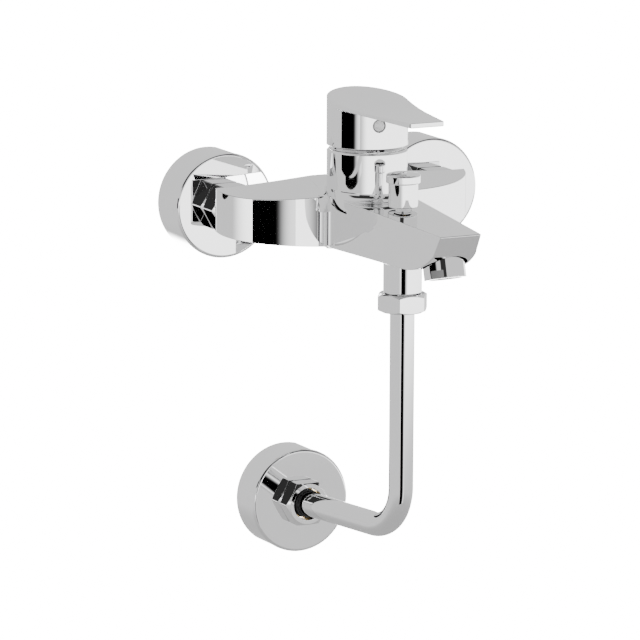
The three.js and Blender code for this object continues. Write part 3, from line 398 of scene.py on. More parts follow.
BODY_LOW, BODY_HIGH = size_of("body_casting")
NECK_D, NECK_R, NECK_TOP = 84.3, 26.2, BODY_HIGH[2]
BODY_BOTTOM = -22.9
SPOUT_TIP_D, SPOUT_TIP_HALF, SPOUT_TIP_TOP, SPOUT_TOP = -BODY_LOW[1], 14.5, 4.2, 10.9
SWEEP_START_D, SWEEP_R, CHIN_D = SPOUT_TIP_D - 44, 55, SPOUT_TIP_D - 8.7
DIVERTER_D = -centre_of("diverter_knob")[1]
AERATOR_TILT, REST_TILT, INDEX_TURN, RISER_TURN, FLAT_TURN = -15, 12, -10, -4, -49  # degrees
AERATOR = shift(0, SPOUT_TIP_D - 20.5, -26.8) @ Matrix.Rotation(AERATOR_TILT * RAD, 4, "X")
PIVOT_Z = 25.5
GAP = 0.3  # clearance between neighbouring pieces


# ---- Wall flanges and union nuts ----------------------------------------------------------------

def flange(node, hole):
    low, high = size_of(node)
    radius, depth, wall = (high[0] - low[0]) / 2, high[1] - low[1], 2.0
    skin = hollow([
        (hole, depth - wall, 0.3), (radius - wall, depth - wall, 1.0), (radius - wall, 0, 0.4),
        (radius, 0, 0.5), (radius, depth, 2.0), (hole, depth, 0.5),
    ])
    x, _, z = centre_of(node)
    piece(f"{node}_shell", outward(skin).moved(out_of_wall(x, z)), CHROME, "faucet_body", [node])


for node in ("left_wall_flange", "right_wall_flange"):
    flange(node, 13.5)
flange("pipe_wall_flange", 10.6)


def wall_side_nut(node, bore):
    low, high = size_of(node)
    flats = high[2] - low[2]
    skin = hex_nut(flats, -high[1], -low[1], bore, face=0.6)
    x, _, z = centre_of(node)
    piece(f"{node}_hex", skin.moved(out_of_wall(x, z)), CHROME, "faucet_body", [node])


for node in ("left_union_nut", "right_union_nut"):
    wall_side_nut(node, 9.5)
wall_side_nut("pipe_wall_nut", 10.7)


# ---- Body casting ------------------------------------------------------------------------------

ARM_BACK, ARM_REACH, ARM_HALF, ARM_SLOPE = -BODY_HIGH[1], 28.0, BODY_HIGH[0], 0.36


def arm_top(x, d):
    rise = 5.5 * max(0.0, 1 - abs(x) / 80) ** 1.3
    return 15.5 + rise - ARM_SLOPE * (d - ARM_BACK)


def arm_bottom(x, d):
    return -12.7 - 2.0 * (1 - abs(x) / ARM_HALF) - ARM_SLOPE * (d - ARM_BACK)


def pillow(outline, top, bottom, edge, steps=ARC):
    """A prism over a counter-clockwise plan (x, y, nx, ny) with rounded rims. Point i of the plan
    lies across from point -1 - i, and the top and bottom are ruled between the two."""
    def tilt(height, x, d, sign):
        e = 0.01
        gx = (height(x + e, d) - height(x - e, d)) / (2 * e)
        gd = (height(x, d + e) - height(x, d - e)) / (2 * e)
        n = sign * np.array([-gx, gd, 1.0])
        return n / np.linalg.norm(n)

    verts, normals, faces = [], [], []
    for x, y, nx, ny in outline:
        plan = np.array([nx, ny, 0.0])
        column = []
        for height, sign in ((bottom, -1), (top, 1)):
            part = []
            for k in range(steps + 1):
                a = math.pi / 2 * k / steps
                px, py = np.array([x, y]) - np.array([nx, ny]) * edge * (1 - math.cos(a))
                z = height(px, -py) - sign * edge * (1 - math.sin(a))
                n = math.cos(a) * plan + math.sin(a) * tilt(height, px, -py, sign)
                part.append(((px, py, z), n / np.linalg.norm(n)))
            column += part[::-1] if sign < 0 else part
        verts += [c[0] for c in column]
        normals += [c[1] for c in column]
    width, count = 2 * (steps + 1), len(outline)
    for i in range(count):
        j = (i + 1) % count
        for k in range(width - 1):
            faces.append([i * width + k, j * width + k, j * width + k + 1, i * width + k + 1])
    for i in range(count // 2 - 1):
        a, b, c, d = i, i + 1, count - 2 - i, count - 1 - i
        faces.append([q * width + width - 1 for q in (a, b, c, d)])
        faces.append([q * width for q in (d, c, b, a)])
    return outward(Skin(verts, normals, faces))


def ellipse(a):
    """Front of the arms in plan at an angle from the right: point and outward normal in (x, d)."""
    point = np.array([ARM_HALF * math.cos(a), ARM_BACK + 1 + (ARM_REACH - 1) * math.sin(a)])
    normal = np.array([math.cos(a) / ARM_HALF, math.sin(a) / (ARM_REACH - 1)])
    return point, normal / np.linalg.norm(normal)


CORNER_R = 1.2  # fillet between the arms and the neck
ARM_EDGE, SPOUT_EDGE, LEVER_EDGE = 0.45, 0.6, 0.5  # rounded rims
FILLET_DEPTH, FILLET_OVERLAP = 8, 5  # how far a shelf fillet runs into the casting
NECK_AXIS = np.array([0.0, NECK_D])


def corner_gap(a):
    point, normal = ellipse(a)
    return np.linalg.norm(point + CORNER_R * normal - NECK_AXIS) - NECK_R - CORNER_R


def arm_front():
    """Right half of the arms' front in plan, from the end inwards: rows of x, d, nx, nd."""
    low, high = 60 * RAD, 88 * RAD
    for _ in range(50):
        middle = (low + high) / 2
        low, high = (middle, high) if corner_gap(middle) > 0 else (low, middle)
    rows = []
    for k in range(61):
        a = high * (k / 60) ** 1.15
        point, normal = ellipse(a)
        rows.append((*point, *normal))
    point, normal = ellipse(high)
    centre = point + CORNER_R * normal
    toward = (centre - NECK_AXIS) / np.linalg.norm(centre - NECK_AXIS)
    start, end = math.atan2(normal[1], normal[0]), math.atan2(toward[1], toward[0])
    for k in range(1, 13):
        a = start + (end - start) * k / 12
        n = np.array([math.cos(a), math.sin(a)])
        rows.append((*(centre - CORNER_R * n), *n))
    x, d, nx, nd = rows[-1]
    rows.append((x - 3 * nx, d - 3 * nd, nx, nd))
    return rows


def arms():
    half = arm_front()
    right = [(x, -d, nx, -nd) for x, d, nx, nd in half]
    left = [(-x, y, -nx, ny) for x, y, nx, ny in right]
    front = left + right[::-1]
    back = [(x, -ARM_BACK, 0.0, 1.0) for x, _, _, _ in front[::-1]]
    return pillow(front + back, arm_top, arm_bottom, ARM_EDGE)


def tangent(radius, centre, tip_half, tip_d):
    """Where the side line from a tip corner touches the circle: x, d and the angle there."""
    reach = tip_d - centre
    a = math.atan2(tip_half, reach) + math.acos(radius / math.hypot(tip_half, reach))
    return radius * math.sin(a), centre + radius * math.cos(a), a


SIDE_X, SIDE_D, _ = tangent(NECK_R, NECK_D, SPOUT_TIP_HALF, SPOUT_TIP_D)
SIDE_SLOPE = (SPOUT_TIP_HALF - SIDE_X) / (SPOUT_TIP_D - SIDE_D)


def spout_half(d):
    return SIDE_X + SIDE_SLOPE * max(0.0, d - SIDE_D)


def spout_top(d):
    return SPOUT_TOP + (SPOUT_TIP_TOP - SPOUT_TOP) * (d - NECK_D) / (SPOUT_TIP_D - NECK_D)


def underside(d):
    return BODY_BOTTOM + SWEEP_R - math.sqrt(SWEEP_R**2 - (d - SWEEP_START_D) ** 2)


def spout():
    """Side profile rounded all round, over a half width that narrows to the tip."""
    sweep = [SWEEP_START_D + (CHIN_D - SWEEP_START_D) * k / 24 for k in range(24)]
    corners = [(NECK_D, BODY_BOTTOM, 0)] + [(d, underside(d), 0) for d in sweep]
    corners += [(CHIN_D, underside(CHIN_D), 0.8), (SPOUT_TIP_D, SPOUT_TIP_TOP, 0.8)]
    corners += [(SPOUT_TIP_D - 14 * k, spout_top(SPOUT_TIP_D - 14 * k), 0) for k in range(1, 9)]
    corners += [(NECK_D, SPOUT_TOP, 0)]
    profile = rounded(corners)
    edge, rings = SPOUT_EDGE, []
    for side in (-1, 1):
        flank = np.array([side, SIDE_SLOPE, 0.0])
        flank /= np.linalg.norm(flank)
        for k in range(ARC + 1):
            a = math.pi / 2 * (k if side > 0 else ARC - k) / ARC
            ring = []
            for d, z, nd, nz in profile:
                inset = edge * (1 - math.cos(a))
                pd, pz = d - nd * inset, z - nz * inset
                x = side * (spout_half(pd) - edge + edge * math.sin(a))
                normal = math.cos(a) * np.array([0, -nd, nz]) + math.sin(a) * flank
                ring.append(((x, -pd, pz), normal / np.linalg.norm(normal)))
            rings.append(ring)
    width = len(profile)
    verts = [p for ring in rings for p, _ in ring]
    normals = [n for ring in rings for _, n in ring]
    faces = []
    for k in range(len(rings) - 1):
        for i in range(width):
            j = (i + 1) % width
            faces.append([k * width + i, k * width + j, (k + 1) * width + j, (k + 1) * width + i])
    faces.append(list(range(width))[::-1])
    faces.append([(len(rings) - 1) * width + i for i in range(width)])
    return outward(Skin(verts, normals, faces))


def shelf_fillet(top, reach_at, start, end, radius):
    """A concave collar between the neck and a sloping shelf, over a range of angles from the front,
    cut off where reach_at says that the shelf ends."""
    rows, tangents, count, sink = [], [], 12, 0.02
    steps = int(abs(end - start) / 2)
    for i in range(steps + 1):
        angle = (start + (end - start) * i / steps) * RAD
        s, c = math.sin(angle), math.cos(angle)

        def height(r):
            return top(r * s, NECK_D + r * c)

        near = NECK_R + radius * 0.7
        slope = (height(near + 0.1) - height(near - 0.1)) / 0.2
        base = height(near) + slope * (NECK_R - near) - sink
        root = math.sqrt(1 + slope**2)
        cr, cz = NECK_R - sink + radius, base + slope * radius + radius * root
        foot = math.atan2(-1 / root, slope / root)
        limit = min(reach_at(angle), NECK_R + radius * (1 + slope / root)) - 0.02
        limit = max(limit, NECK_R + 0.05)
        if cr + radius * math.cos(foot) > limit:
            foot = -math.acos(max(-1.0, (limit - cr) / radius))
        loop = []
        for k in range(count + 1):
            a = -math.pi + (foot + math.pi) * k / count
            s_a, c_a = math.sin(a), math.cos(a)
            loop.append((cr + radius * c_a, cz + radius * s_a, -s_a, c_a))
        r_end = loop[-1][0]
        low, inner = base - FILLET_DEPTH, NECK_R - FILLET_OVERLAP
        loop += [(r_end, low, 0, -1), (inner, low, -1, 0), (inner, loop[0][1], 0, 1)]
        rows.append([(r * s, -(NECK_D + r * c), z) for r, z, _, _ in loop])
        tangents.append([(tr * s, -tr * c, tz) for _, _, tr, tz in loop])
    return outward(grid(rows, tangents, False, True))


def spout_reach(angle):
    """Distance from the neck's axis to the spout's side line in a direction from the front."""
    s, c = abs(math.sin(angle)), math.cos(angle)
    return (SIDE_X + SIDE_SLOPE * (NECK_D - SIDE_D)) / max(s - SIDE_SLOPE * c, 1e-6)


FRONT_ROWS = arm_front()


def arm_reach(angle):
    """Distance from the neck's axis to the arms' outline in a direction from the front."""
    s, c = abs(math.sin(angle)), math.cos(angle)
    back = (ARM_BACK + 0.3 - NECK_D) / c if c < -1e-6 else 1e9
    reach = 1e9
    for (x0, d0, _, _), (x1, d1, _, _) in zip(FRONT_ROWS, FRONT_ROWS[1:]):
        a = np.array([[s, x0 - x1], [c, d0 - d1]])
        if abs(np.linalg.det(a)) < 1e-9:
            continue
        r, t = np.linalg.solve(a, np.array([x0, d0 - NECK_D]))
        if -1e-6 <= t <= 1 + 1e-6 and r > NECK_R:
            reach = min(reach, r)
    return min(back, reach)


neck = spun([
    (0, BODY_BOTTOM, 0), (NECK_R, BODY_BOTTOM, 1.0), (NECK_R, NECK_TOP - 1.2, 0.5),
    (NECK_R - 1.2, NECK_TOP, 0.4), (0, NECK_TOP, 0),
]).moved(shift(0, NECK_D))
spout_fillet = shelf_fillet(lambda x, d: spout_top(d), spout_reach, -88, 88, 6.0)
arm_fillet = shelf_fillet(arm_top, arm_reach, 104, 256, 5.0)
at_neck, at_diverter = shift(0, NECK_D), shift(0, DIVERTER_D)
CAVITY_R, NUT_THREAD_R = 21.0, 22.8  # bores in the casting: cartridge and its retaining nut,
AERATOR_POCKET_R, AERATOR_WAY_R = 15.2, 11.7  # aerator and the way to it,
COLLAR_BORE_R, VALVE_CHAMBER_R, ROD_BORE_R = 10.6, 9.2, 5.5  # shower outlet and diverter,
INLET_BORE_R = 9.5  # and the two inlets
body_steps = [
    ("UNION", neck),
    ("UNION", spout()),
    ("UNION", arms()),
    ("UNION", spout_fillet),
    ("UNION", arm_fillet),
    ("DIFFERENCE", rod(CAVITY_R, -10, 60).moved(at_neck)),
    ("DIFFERENCE", rod(NUT_THREAD_R, 31.2, 60).moved(at_neck)),
    ("DIFFERENCE", rod(AERATOR_POCKET_R, -14, 17.5, 0.5).moved(AERATOR)),
    ("DIFFERENCE", rod(AERATOR_WAY_R, 15, 24.7).moved(AERATOR)),
    ("DIFFERENCE", rod(COLLAR_BORE_R, -40, -15.7).moved(at_diverter)),
    ("DIFFERENCE", rod(VALVE_CHAMBER_R, -17, -3.4).moved(at_diverter)),
    ("DIFFERENCE", rod(ROD_BORE_R, -5, 40).moved(at_diverter)),
]
for side in ("left", "right"):
    x, _, z = centre_of(f"{side}_inlet_nipple")
    inlet = rod(INLET_BORE_R, ARM_BACK - 5, ARM_BACK + 9.3).moved(out_of_wall(x, z))
    body_steps.append(("DIFFERENCE", inlet))
carve("body_shell", body_steps, CHROME, "faucet_body", ["body_casting"])


# ---- Cover dome --------------------------------------------------------------------------------

def cover_dome():
    base_r, wall = NECK_R - 1.4, 1.2
    outer = math.hypot(base_r, NECK_TOP + GAP - PIVOT_Z)
    hole = 12.6
    a0, a1 = math.atan2(NECK_TOP + GAP - PIVOT_Z, base_r), math.acos(hole / outer)
    corners = [(outer * math.cos(a0), PIVOT_Z + outer * math.sin(a0), 0.25)]
    for k in range(1, 24):
        a = a0 + (a1 - a0) * k / 24
        corners.append((outer * math.cos(a), PIVOT_Z + outer * math.sin(a), 0))
    corners.append((hole, PIVOT_Z + outer * math.sin(a1), 0.3))
    inner, bore = outer - wall, 20.9
    b1, b0 = math.acos(hole / inner), math.acos(bore / inner)
    corners.append((hole, PIVOT_Z + inner * math.sin(b1), 0.3))
    for k in range(1, 16):
        a = b1 + (b0 - b1) * k / 16
        corners.append((inner * math.cos(a), PIVOT_Z + inner * math.sin(a), 0))
    corners += [(bore, NECK_TOP - 2.4, 0.2), (22.5, NECK_TOP - 2.4, 0.2), (22.5, NECK_TOP + GAP, 0.1)]
    return outward(turned(rounded(corners)))


piece("cover_dome", cover_dome().moved(at_neck), CHROME, "faucet_body", ["cover_dome_ring"])


# ---- Handle ------------------------------------------------------------------------------------

LEVER_LOW, LEVER_HIGH = size_of("handle_lever")
SKIRT_R, SKIRT_BOTTOM = LEVER_HIGH[0], LEVER_LOW[2]
LEVER_TIP_D, LEVER_TIP_HALF = -LEVER_LOW[1], 12.0
LEAN = shift(0, NECK_D, PIVOT_Z) @ Matrix.Rotation(REST_TILT * RAD, 4, "X")
LEAN = LEAN @ Matrix.Translation((0, 0, -PIVOT_Z))


def lever_top(_, d):
    return 69.3 + 0.0014 * max(0.0, 135 - d) ** 2


def lever_bottom(_, d):
    start = NECK_D + SKIRT_R - 15
    return 68.2 - 2.2 * max(0.0, d - start) / (LEVER_TIP_D - start)


def lever_plate():
    """The tongue seen from above: a round back and straight sides to a narrow tip."""
    _, _, angle = tangent(SKIRT_R, NECK_D, LEVER_TIP_HALF, LEVER_TIP_D)
    left = []
    for k in range(48):
        a = math.pi - 0.02 - (math.pi - 0.02 - angle) * k / 47
        left.append((-SKIRT_R * math.sin(a), -(NECK_D + SKIRT_R * math.cos(a)), -math.sin(a), -math.cos(a)))
    x0, y0, nx, ny = left[-1]
    tip = 1.6
    side = np.array([-LEVER_TIP_HALF - x0, -LEVER_TIP_D - y0])
    side /= np.linalg.norm(side)
    normal = (side[1], -side[0])
    if normal[0] > 0:
        normal = (-normal[0], -normal[1])
    corner = rounded([(x0, y0, 0), (-LEVER_TIP_HALF, -LEVER_TIP_D, tip), (0, -LEVER_TIP_D, 0)], False)[1:-1]
    for k in range(1, 24):
        t = k / 24
        left.append((x0 + (corner[0][0] - x0) * t, y0 + (corner[0][1] - y0) * t, *normal))
    left += corner
    right = [(-x, y, -nx, ny) for x, y, nx, ny in left[::-1]]
    return pillow(left + right, lever_top, lever_bottom, LEVER_EDGE)


def block(side, low, high):
    """A square bar along Z."""
    h = side / 2
    ring = rounded([(-h, -h, 0.2), (h, -h, 0.2), (h, h, 0.2), (-h, h, 0.2)], steps=2)
    verts = [(x, y, z) for z in (low, high) for x, y, _, _ in ring]
    normals = [(nx, ny, 0) for _ in range(2) for _, _, nx, ny in ring]
    n = len(ring)
    faces = [[i, (i + 1) % n, n + (i + 1) % n, n + i] for i in range(n)]
    faces += [list(range(n))[::-1], list(range(n, 2 * n))]
    return Skin(verts, normals, faces)


def at_index(skin):
    z = centre_of("index_button")[2]
    turn = Matrix.Rotation(INDEX_TURN * RAD, 4, "Z") @ Matrix.Rotation(math.pi / 2, 4, "X")
    return skin.moved(shift(0, NECK_D, z) @ turn)


handle_steps = [
    ("UNION", lever_plate()),
    ("UNION", rod(SKIRT_R - 0.006, SKIRT_BOTTOM, 69, 0.45).moved(at_neck)),
    ("DIFFERENCE", rod(SKIRT_R - 2.2, SKIRT_BOTTOM - 5, 66.3).moved(at_neck)),
    ("UNION", rod(9, PIVOT_Z + 31, PIVOT_Z + 42, 0.3, 64).moved(LEAN)),
    ("UNION", at_index(rod(6.4, 9, SKIRT_R - 1.2, 0, 64))),
    ("DIFFERENCE", block(8.6, PIVOT_Z + 22, PIVOT_Z + 40.3).moved(LEAN)),
    ("DIFFERENCE", at_index(rod(2.6, 4, SKIRT_R, 0, 48))),
    ("DIFFERENCE", at_index(rod(4.4, SKIRT_R - 5, SKIRT_R + 3, 0, 96))),
]
carve("lever_shell", handle_steps, CHROME, "lever", ["handle_lever"])

button = spun([
    (0, SKIRT_R - 4.7, 0), (3.7, SKIRT_R - 4.7, 0.3), (3.7, SKIRT_R - 0.4, 1.2), (0, SKIRT_R + 0.8, 0),
], 96)
piece("index_cap", at_index(button), INDEX_WHITE, "lever", ["index_button"])


# ---- Diverter ----------------------------------------------------------------------------------

KNOB_LOW, KNOB_HIGH = size_of("diverter_knob")
KNOB_R, KNOB_TOP, KNOB_BOTTOM = (KNOB_HIGH[0] - KNOB_LOW[0]) / 2, KNOB_HIGH[2], KNOB_LOW[2]
STEM_R, KNOB_RIM = KNOB_R - 1.55, 26.0
knob = spun([
    (0, 24.3, 0), (2.7, 24.3, 0.1), (2.7, KNOB_BOTTOM, 0.2), (STEM_R, KNOB_BOTTOM, 0.5),
    (STEM_R, KNOB_RIM, 0.5), (KNOB_R, KNOB_RIM, 0.5), (KNOB_R, KNOB_TOP - 1.6, 1.4),
    (KNOB_R - 4, KNOB_TOP - 0.6, 6), (0, KNOB_TOP, 0),
])
piece("pull_knob", knob.moved(at_diverter), CHROME, "diverter", ["diverter_knob"])

BONNET_LOW, BONNET_HIGH = size_of("diverter_bonnet")
BONNET_R, BONNET_TOP = (BONNET_HIGH[0] - BONNET_LOW[0]) / 2, BONNET_HIGH[2]
seat = spout_top(DIVERTER_D - BONNET_R) + GAP
bonnet = hollow([
    (2.7, 6.4, 0.1), (4.4, 6.4, 0.1), (4.4, BONNET_LOW[2], 0.1), (5.2, BONNET_LOW[2], 0.2),
    (5.2, seat, 0.1), (BONNET_R, seat, 0.2), (BONNET_R, BONNET_TOP, 0.4), (2.7, BONNET_TOP, 0.2),
])
piece("bonnet", outward(bonnet).moved(at_diverter), CHROME, "faucet_body", ["diverter_bonnet"])


SPRING_R, SPRING_WIRE, SPRING_TURNS, SPRING_STEPS = 4.1, 0.5, 4, 48


def spring(low, high):
    """A round wire wound about the knob's axis."""
    count = SPRING_TURNS * SPRING_STEPS
    pitch = (high - low - 2 * SPRING_WIRE) / count
    rows, tangents = [], []
    for i in range(count + 1):
        a = 2 * math.pi * i / SPRING_STEPS
        out = np.array([math.cos(a), math.sin(a), 0])
        centre = out * SPRING_R + np.array([0, 0, low + SPRING_WIRE + pitch * i])
        turns = [2 * math.pi * k / 24 for k in range(24)]
        up = np.array([0, 0, 1])
        rows.append([centre + SPRING_WIRE * (out * math.cos(t) + up * math.sin(t)) for t in turns])
        tangents.append([-out * math.sin(t) + up * math.cos(t) for t in turns])
    return outward(grid(rows, tangents, False, True))


SPRING_LOW, SPRING_HIGH = size_of("diverter_spring")
coil = piece("spring_wire", spring(SPRING_LOW[2], SPRING_HIGH[2]).moved(at_diverter), STEEL,
             "faucet_body", ["diverter_spring"])
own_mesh(coil)


# ---- Aerator -----------------------------------------------------------------------------------

AERATOR_R, AERATOR_LENGTH, FLAT_AF = 13.4, 17.2, 25.4
housing = outward(hollow([
    (10.4, 0, 0.5), (AERATOR_R, 0, 0.6), (AERATOR_R, AERATOR_LENGTH, 0.7), (11.4, AERATOR_LENGTH, 0.1),
    (11.4, 22.5, 0.3), (9.0, 22.5, 0.3), (9.0, 14.2, 0.1), (10.4, 14.2, 0.1),
]))
aerator_steps = [("UNION", housing.moved(AERATOR))]
for turn in (0, 180):
    turn_flat = Matrix.Rotation((FLAT_TURN + turn) * RAD, 4, "Z") @ shift(0, FLAT_AF / 2 + 15, 0)
    aerator_steps.append(("DIFFERENCE", block(30, -2, 5.3).moved(AERATOR @ turn_flat)))
carve("aerator_shell", aerator_steps, CHROME, "faucet_body", ["aerator_housing"])

insert_steps = [
    ("UNION", rod(10.1, 1.2, 13.9, 0.4, 96).moved(AERATOR)),
    ("DIFFERENCE", rod(8.9, 3.2, 15, 0, 96).moved(AERATOR)),
]
for inner in (2.2, 4.4, 6.6):
    groove = outward(hollow([(inner, 0, 0), (inner + 1.3, 0, 0), (inner + 1.3, 4, 0), (inner, 4, 0)], 96))
    insert_steps.append(("DIFFERENCE", groove.moved(AERATOR)))
for turn in (20, 80, 140):
    rib = block(1.1, 1.3, 3.1)
    rib.verts[:, 0] *= 17.0 / 1.1
    insert_steps.append(("UNION", rib.moved(AERATOR @ Matrix.Rotation(turn * RAD, 4, "Z"))))
carve("aerator_strainer", insert_steps, PLASTIC, "faucet_body", ["aerator_insert"])


# ---- Outlet, riser and wall connection -----------------------------------------------------------

COLLAR_LOW, COLLAR_HIGH = size_of("shower_outlet_nipple")
COLLAR_R = (COLLAR_HIGH[0] - COLLAR_LOW[0]) / 2
collar = outward(hollow([
    (6, COLLAR_LOW[2], 0.3), (10.3, COLLAR_LOW[2], 0.5), (10.3, -45, 0.1), (COLLAR_R, -45, 0.7),
    (COLLAR_R, BODY_BOTTOM - GAP, 0.3), (10.3, BODY_BOTTOM - GAP, 0.1), (10.3, -16, 0.3),
    (6, -16, 0.3),
]))
piece("outlet_collar", collar.moved(at_diverter), CHROME, "faucet_body", ["shower_outlet_nipple"])

RISER_LOW, RISER_HIGH = size_of("pipe_union_nut")
riser_nut = hex_nut(30.0, RISER_LOW[2], RISER_HIGH[2], 8.3, face=0.6)
riser_turn = at_diverter @ Matrix.Rotation(RISER_TURN * RAD, 4, "Z")
piece("riser_nut", riser_nut.moved(riser_turn), CHROME, "faucet_body", ["pipe_union_nut"])

_, PIPE_HIGH = size_of("outlet_pipe")
OUTLET_X, _, OUTLET_Z = centre_of("pipe_wall_flange")
PIPE_R, PIPE_BORE, BEND_R = 8.0, 6.6, 29.0
CROSSING_D = 26 + 11.7 * 0.6
LEG = math.atan2(OUTLET_X, DIVERTER_D - CROSSING_D)


def pipe_line():
    """Centre points and directions: down, a quarter bend, and back to the wall outlet."""
    back = Vector((math.sin(LEG), math.cos(LEG), 0))
    down = Vector((0, 0, -1))
    top = Vector((0, -DIVERTER_D, PIPE_HIGH[2]))
    bend = Vector((0, -DIVERTER_D, OUTLET_Z + BEND_R))
    line = [(top + (bend - top) * k / 12, down) for k in range(12)]
    for k in range(49):
        a = math.pi / 2 * k / 48
        centre = bend + back * BEND_R
        line.append((centre - back * BEND_R * math.cos(a) + down * BEND_R * math.sin(a),
                     down * math.cos(a) + back * math.sin(a)))
    start = line[-1][0]
    far = start + back * ((PIPE_HIGH[1] - start.y) / back.y - PIPE_R * math.tan(abs(LEG)))
    line += [(start + (far - start) * k / 12, back) for k in range(1, 13)]
    return line


def pipe():
    rows, tangents = [], []
    across = Vector((math.cos(LEG), -math.sin(LEG), 0))
    line = pipe_line()
    sides = 96
    for i in range(sides):
        a = 2 * math.pi * i / sides
        row, tangent_row = [], []
        for radius, path, sign in ((PIPE_R, line, 1), (PIPE_BORE, line[::-1], -1)):
            for point, direction in path:
                up = across.cross(direction)
                out = across * math.cos(a) + up * math.sin(a)
                row.append(tuple(point + out * radius))
                tangent_row.append(tuple(direction * sign))
        rows.append(row)
        tangents.append(tangent_row)
    return outward(grid(rows, tangents, True, False))


piece("riser_pipe", pipe(), CHROME, "faucet_body", ["outlet_pipe"])


# ---- Floor, light and camera ---------------------------------------------------------------------

AZIMUTH, ELEVATION, ROLL = -26.72 * RAD, 10.87 * RAD, 0.3 * RAD
# the floor glows are painted light; the low NEAR_GLOW is painted shade close to the part
STRIP_GLOW, FRONT_GLOW, NEAR_GLOW, FAR_GLOW, SKY_GLOW = 16.0, 2.6, 0.12, 0.5, 1.0
CARD_EDGE_GLOW, STUDIO_GLOW = 2.0, 0.04
FLOOR_Z, FLOOR_SIZE = -0.60, 40.0
CARD_D = 84.0  # the cards stand round this distance from the wall


def combine(tree, operation, a, b):
    """A maths node over two values, each a socket or a number."""
    node = tree.nodes.new("ShaderNodeMath")
    node.operation = operation
    for socket, value in zip(node.inputs, (a, b)):
        if isinstance(value, (int, float)):
            socket.default_value = value
        else:
            tree.links.new(value, socket)
    return node.outputs[0]


def ramp(tree, value, start, end, low=0.0, high=1.0, curve="SMOOTHSTEP"):
    """A smooth step from low to high as a value runs from start to end."""
    node = tree.nodes.new("ShaderNodeMapRange")
    node.interpolation_type = curve
    for name, number in zip(("From Min", "From Max", "To Min", "To Max"), (start, end, low, high)):
        node.inputs[name].default_value = number
    tree.links.new(value, node.inputs["Value"])
    return node.outputs["Result"]


def along(tree, direction):
    """How far a point of the object lies in a direction, in metres."""
    place = tree.nodes.new("ShaderNodeTexCoord")
    node = tree.nodes.new("ShaderNodeVectorMath")
    node.operation = "DOT_PRODUCT"
    tree.links.new(place.outputs["Object"], node.inputs[0])
    node.inputs[1].default_value = direction
    return node.outputs["Value"]


def stage_piece(name, verts, faces, material):
    mesh = bpy.data.meshes.new(name)
    mesh.from_pydata(verts, [], faces)
    mesh.materials.append(material)
    obj = bpy.data.objects.new(name, mesh)
    bpy.context.scene.collection.objects.link(obj)
    return obj


def card(name, azimuth, distance, width, low, high, fade):
    """An upright black studio card, seen only in reflections, round the neck. It gets brighter
    over a further width, on the side where the azimuth grows."""
    a = azimuth * RAD
    side = Vector((math.cos(a), math.sin(a), 0))
    middle = Vector((distance * math.sin(a), -CARD_D - distance * math.cos(a), 0))
    ends = [middle - side * width / 2, middle + side * (width / 2 + fade)]
    verts = [(*(c.xy * MM), z * MM) for z in (low, high) for c in ends]
    material = bpy.data.materials.new(name)
    material.use_nodes = True
    tree = material.node_tree
    tree.nodes.clear()
    start = (middle + side * width / 2).dot(side) * MM
    bright = ramp(tree, along(tree, side), start - 0.1 * fade * MM, start + fade * MM,
                  0.0, CARD_EDGE_GLOW, "SMOOTHERSTEP")
    glow = tree.nodes.new("ShaderNodeEmission")
    tree.links.new(bright, glow.inputs["Strength"])
    tree.links.new(glow.outputs[0], tree.nodes.new("ShaderNodeOutputMaterial").inputs["Surface"])
    obj = stage_piece(name, verts, [(0, 1, 3, 2)], material)
    obj.visible_camera = False
    obj.visible_diffuse = False
    obj.visible_shadow = False


def floor_material():
    """Floor whose glow is painted light and shade: brightest in a painted light strip behind the part, dim
    close by as painted shade and brighter further in front as painted light.
    """
    material = bpy.data.materials.new("floor_painted_light_and_shade")
    material.use_nodes = True
    tree = material.node_tree
    shader = tree.nodes["Principled BSDF"]
    shader.inputs["Base Color"].default_value = (0.6, 0.6, 0.6, 1)
    shader.inputs["Roughness"].default_value = 0.9
    shader.inputs["Emission Color"].default_value = (1, 1, 1, 1)
    behind = along(tree, (math.sin(-AZIMUTH), math.cos(AZIMUTH), 0))
    across = combine(tree, "ABSOLUTE", along(tree, (math.cos(AZIMUTH), math.sin(AZIMUTH), 0)), 0)
    # painted light: a glowing strip on the floor behind the part, seen in the chrome's reflections
    strip = combine(tree, "MULTIPLY", ramp(tree, behind, 0.9, 1.2), ramp(tree, across, 0.5, 0.75, 1, 0))
    length = tree.nodes.new("ShaderNodeVectorMath")
    length.operation = "LENGTH"
    tree.links.new(tree.nodes.new("ShaderNodeTexCoord").outputs["Object"], length.inputs[0])
    away = length.outputs["Value"]
    # painted light: the floor glows brighter further out in front
    front = ramp(tree, along(tree, (-0.75, 0.66, 0)), -1.3, 0.4, 1, 0)
    glow = combine(tree, "MULTIPLY", ramp(tree, away, 2.0, 3.3, 0.0, FRONT_GLOW), front)
    # painted shade: the floor's glow is dimmed close to the part, brighter further away
    glow = combine(tree, "ADD", glow, ramp(tree, away, 0.6, 1.6, NEAR_GLOW, FAR_GLOW))
    glow = combine(tree, "MAXIMUM", glow, combine(tree, "MULTIPLY", strip, STRIP_GLOW))
    tree.links.new(glow, shader.inputs["Emission Strength"])
    return material


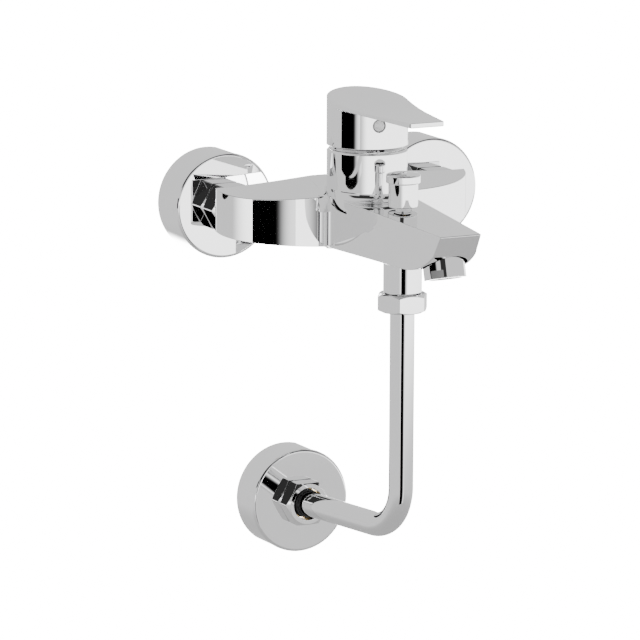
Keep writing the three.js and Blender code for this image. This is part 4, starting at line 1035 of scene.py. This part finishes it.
def sky():
    """Even light from above and behind, and a dark studio in front: all round higher up, and
    down to near the horizon in one band on the left of the middle."""
    world = bpy.data.worlds.new("studio")
    bpy.context.scene.world = world
    world.use_nodes = True
    tree = world.node_tree
    split = tree.nodes.new("ShaderNodeSeparateXYZ")
    tree.links.new(tree.nodes.new("ShaderNodeTexCoord").outputs["Generated"], split.inputs[0])
    x, y, z = split.outputs
    turn = combine(tree, "DIVIDE", x, y)
    band = combine(tree, "MULTIPLY", ramp(tree, turn, 0.29, 0.35), ramp(tree, turn, 1.2, 1.0))
    band = combine(tree, "MULTIPLY", band, ramp(tree, z, 0.16, 0.24))
    dark = combine(tree, "MAXIMUM", band, ramp(tree, z, 0.36, 0.44))
    dark = combine(tree, "MULTIPLY", dark, ramp(tree, z, 0.9, 0.75))
    dark = combine(tree, "MULTIPLY", dark, ramp(tree, y, -0.05, -0.3))
    background = tree.nodes["Background"]
    tree.links.new(ramp(tree, dark, 0.0, 1.0, SKY_GLOW, STUDIO_GLOW), background.inputs["Strength"])
    background.inputs["Color"].default_value = (1, 1, 1, 1)


h = FLOOR_SIZE / 2
stage_piece("floor", [(-h, -h, FLOOR_Z), (h, -h, FLOOR_Z), (h, h, FLOOR_Z), (-h, h, FLOOR_Z)],
            [(0, 1, 2, 3)], floor_material())
sky()
card("card_front", -20.8, 327, 110, -400, -45, 70)
card("card_left_high", -84, 500, 350, -54, 60, 200)
card("card_left_low", -73, 500, 300, -63, -54, 150)

CAMERA = (-1711.2, -3417.4, 647.2)
back = Vector((
    math.sin(AZIMUTH) * math.cos(ELEVATION), -math.cos(AZIMUTH) * math.cos(ELEVATION), math.sin(ELEVATION),
))
right = Vector((math.cos(AZIMUTH), math.sin(AZIMUTH), 0))
up = back.cross(right)
across = right * math.cos(ROLL) + up * math.sin(ROLL)
up = up * math.cos(ROLL) - right * math.sin(ROLL)
camera_data = bpy.data.cameras.new("camera")
camera_data.lens, camera_data.sensor_width, camera_data.clip_end = 331.25, 36.0, 100.0
camera = bpy.data.objects.new("camera", camera_data)
bpy.context.scene.collection.objects.link(camera)
turned_to = Matrix((across, up, back)).transposed().to_4x4()
camera.matrix_world = Matrix.Translation(Vector(CAMERA) * MM) @ turned_to
bpy.context.scene.camera = camera
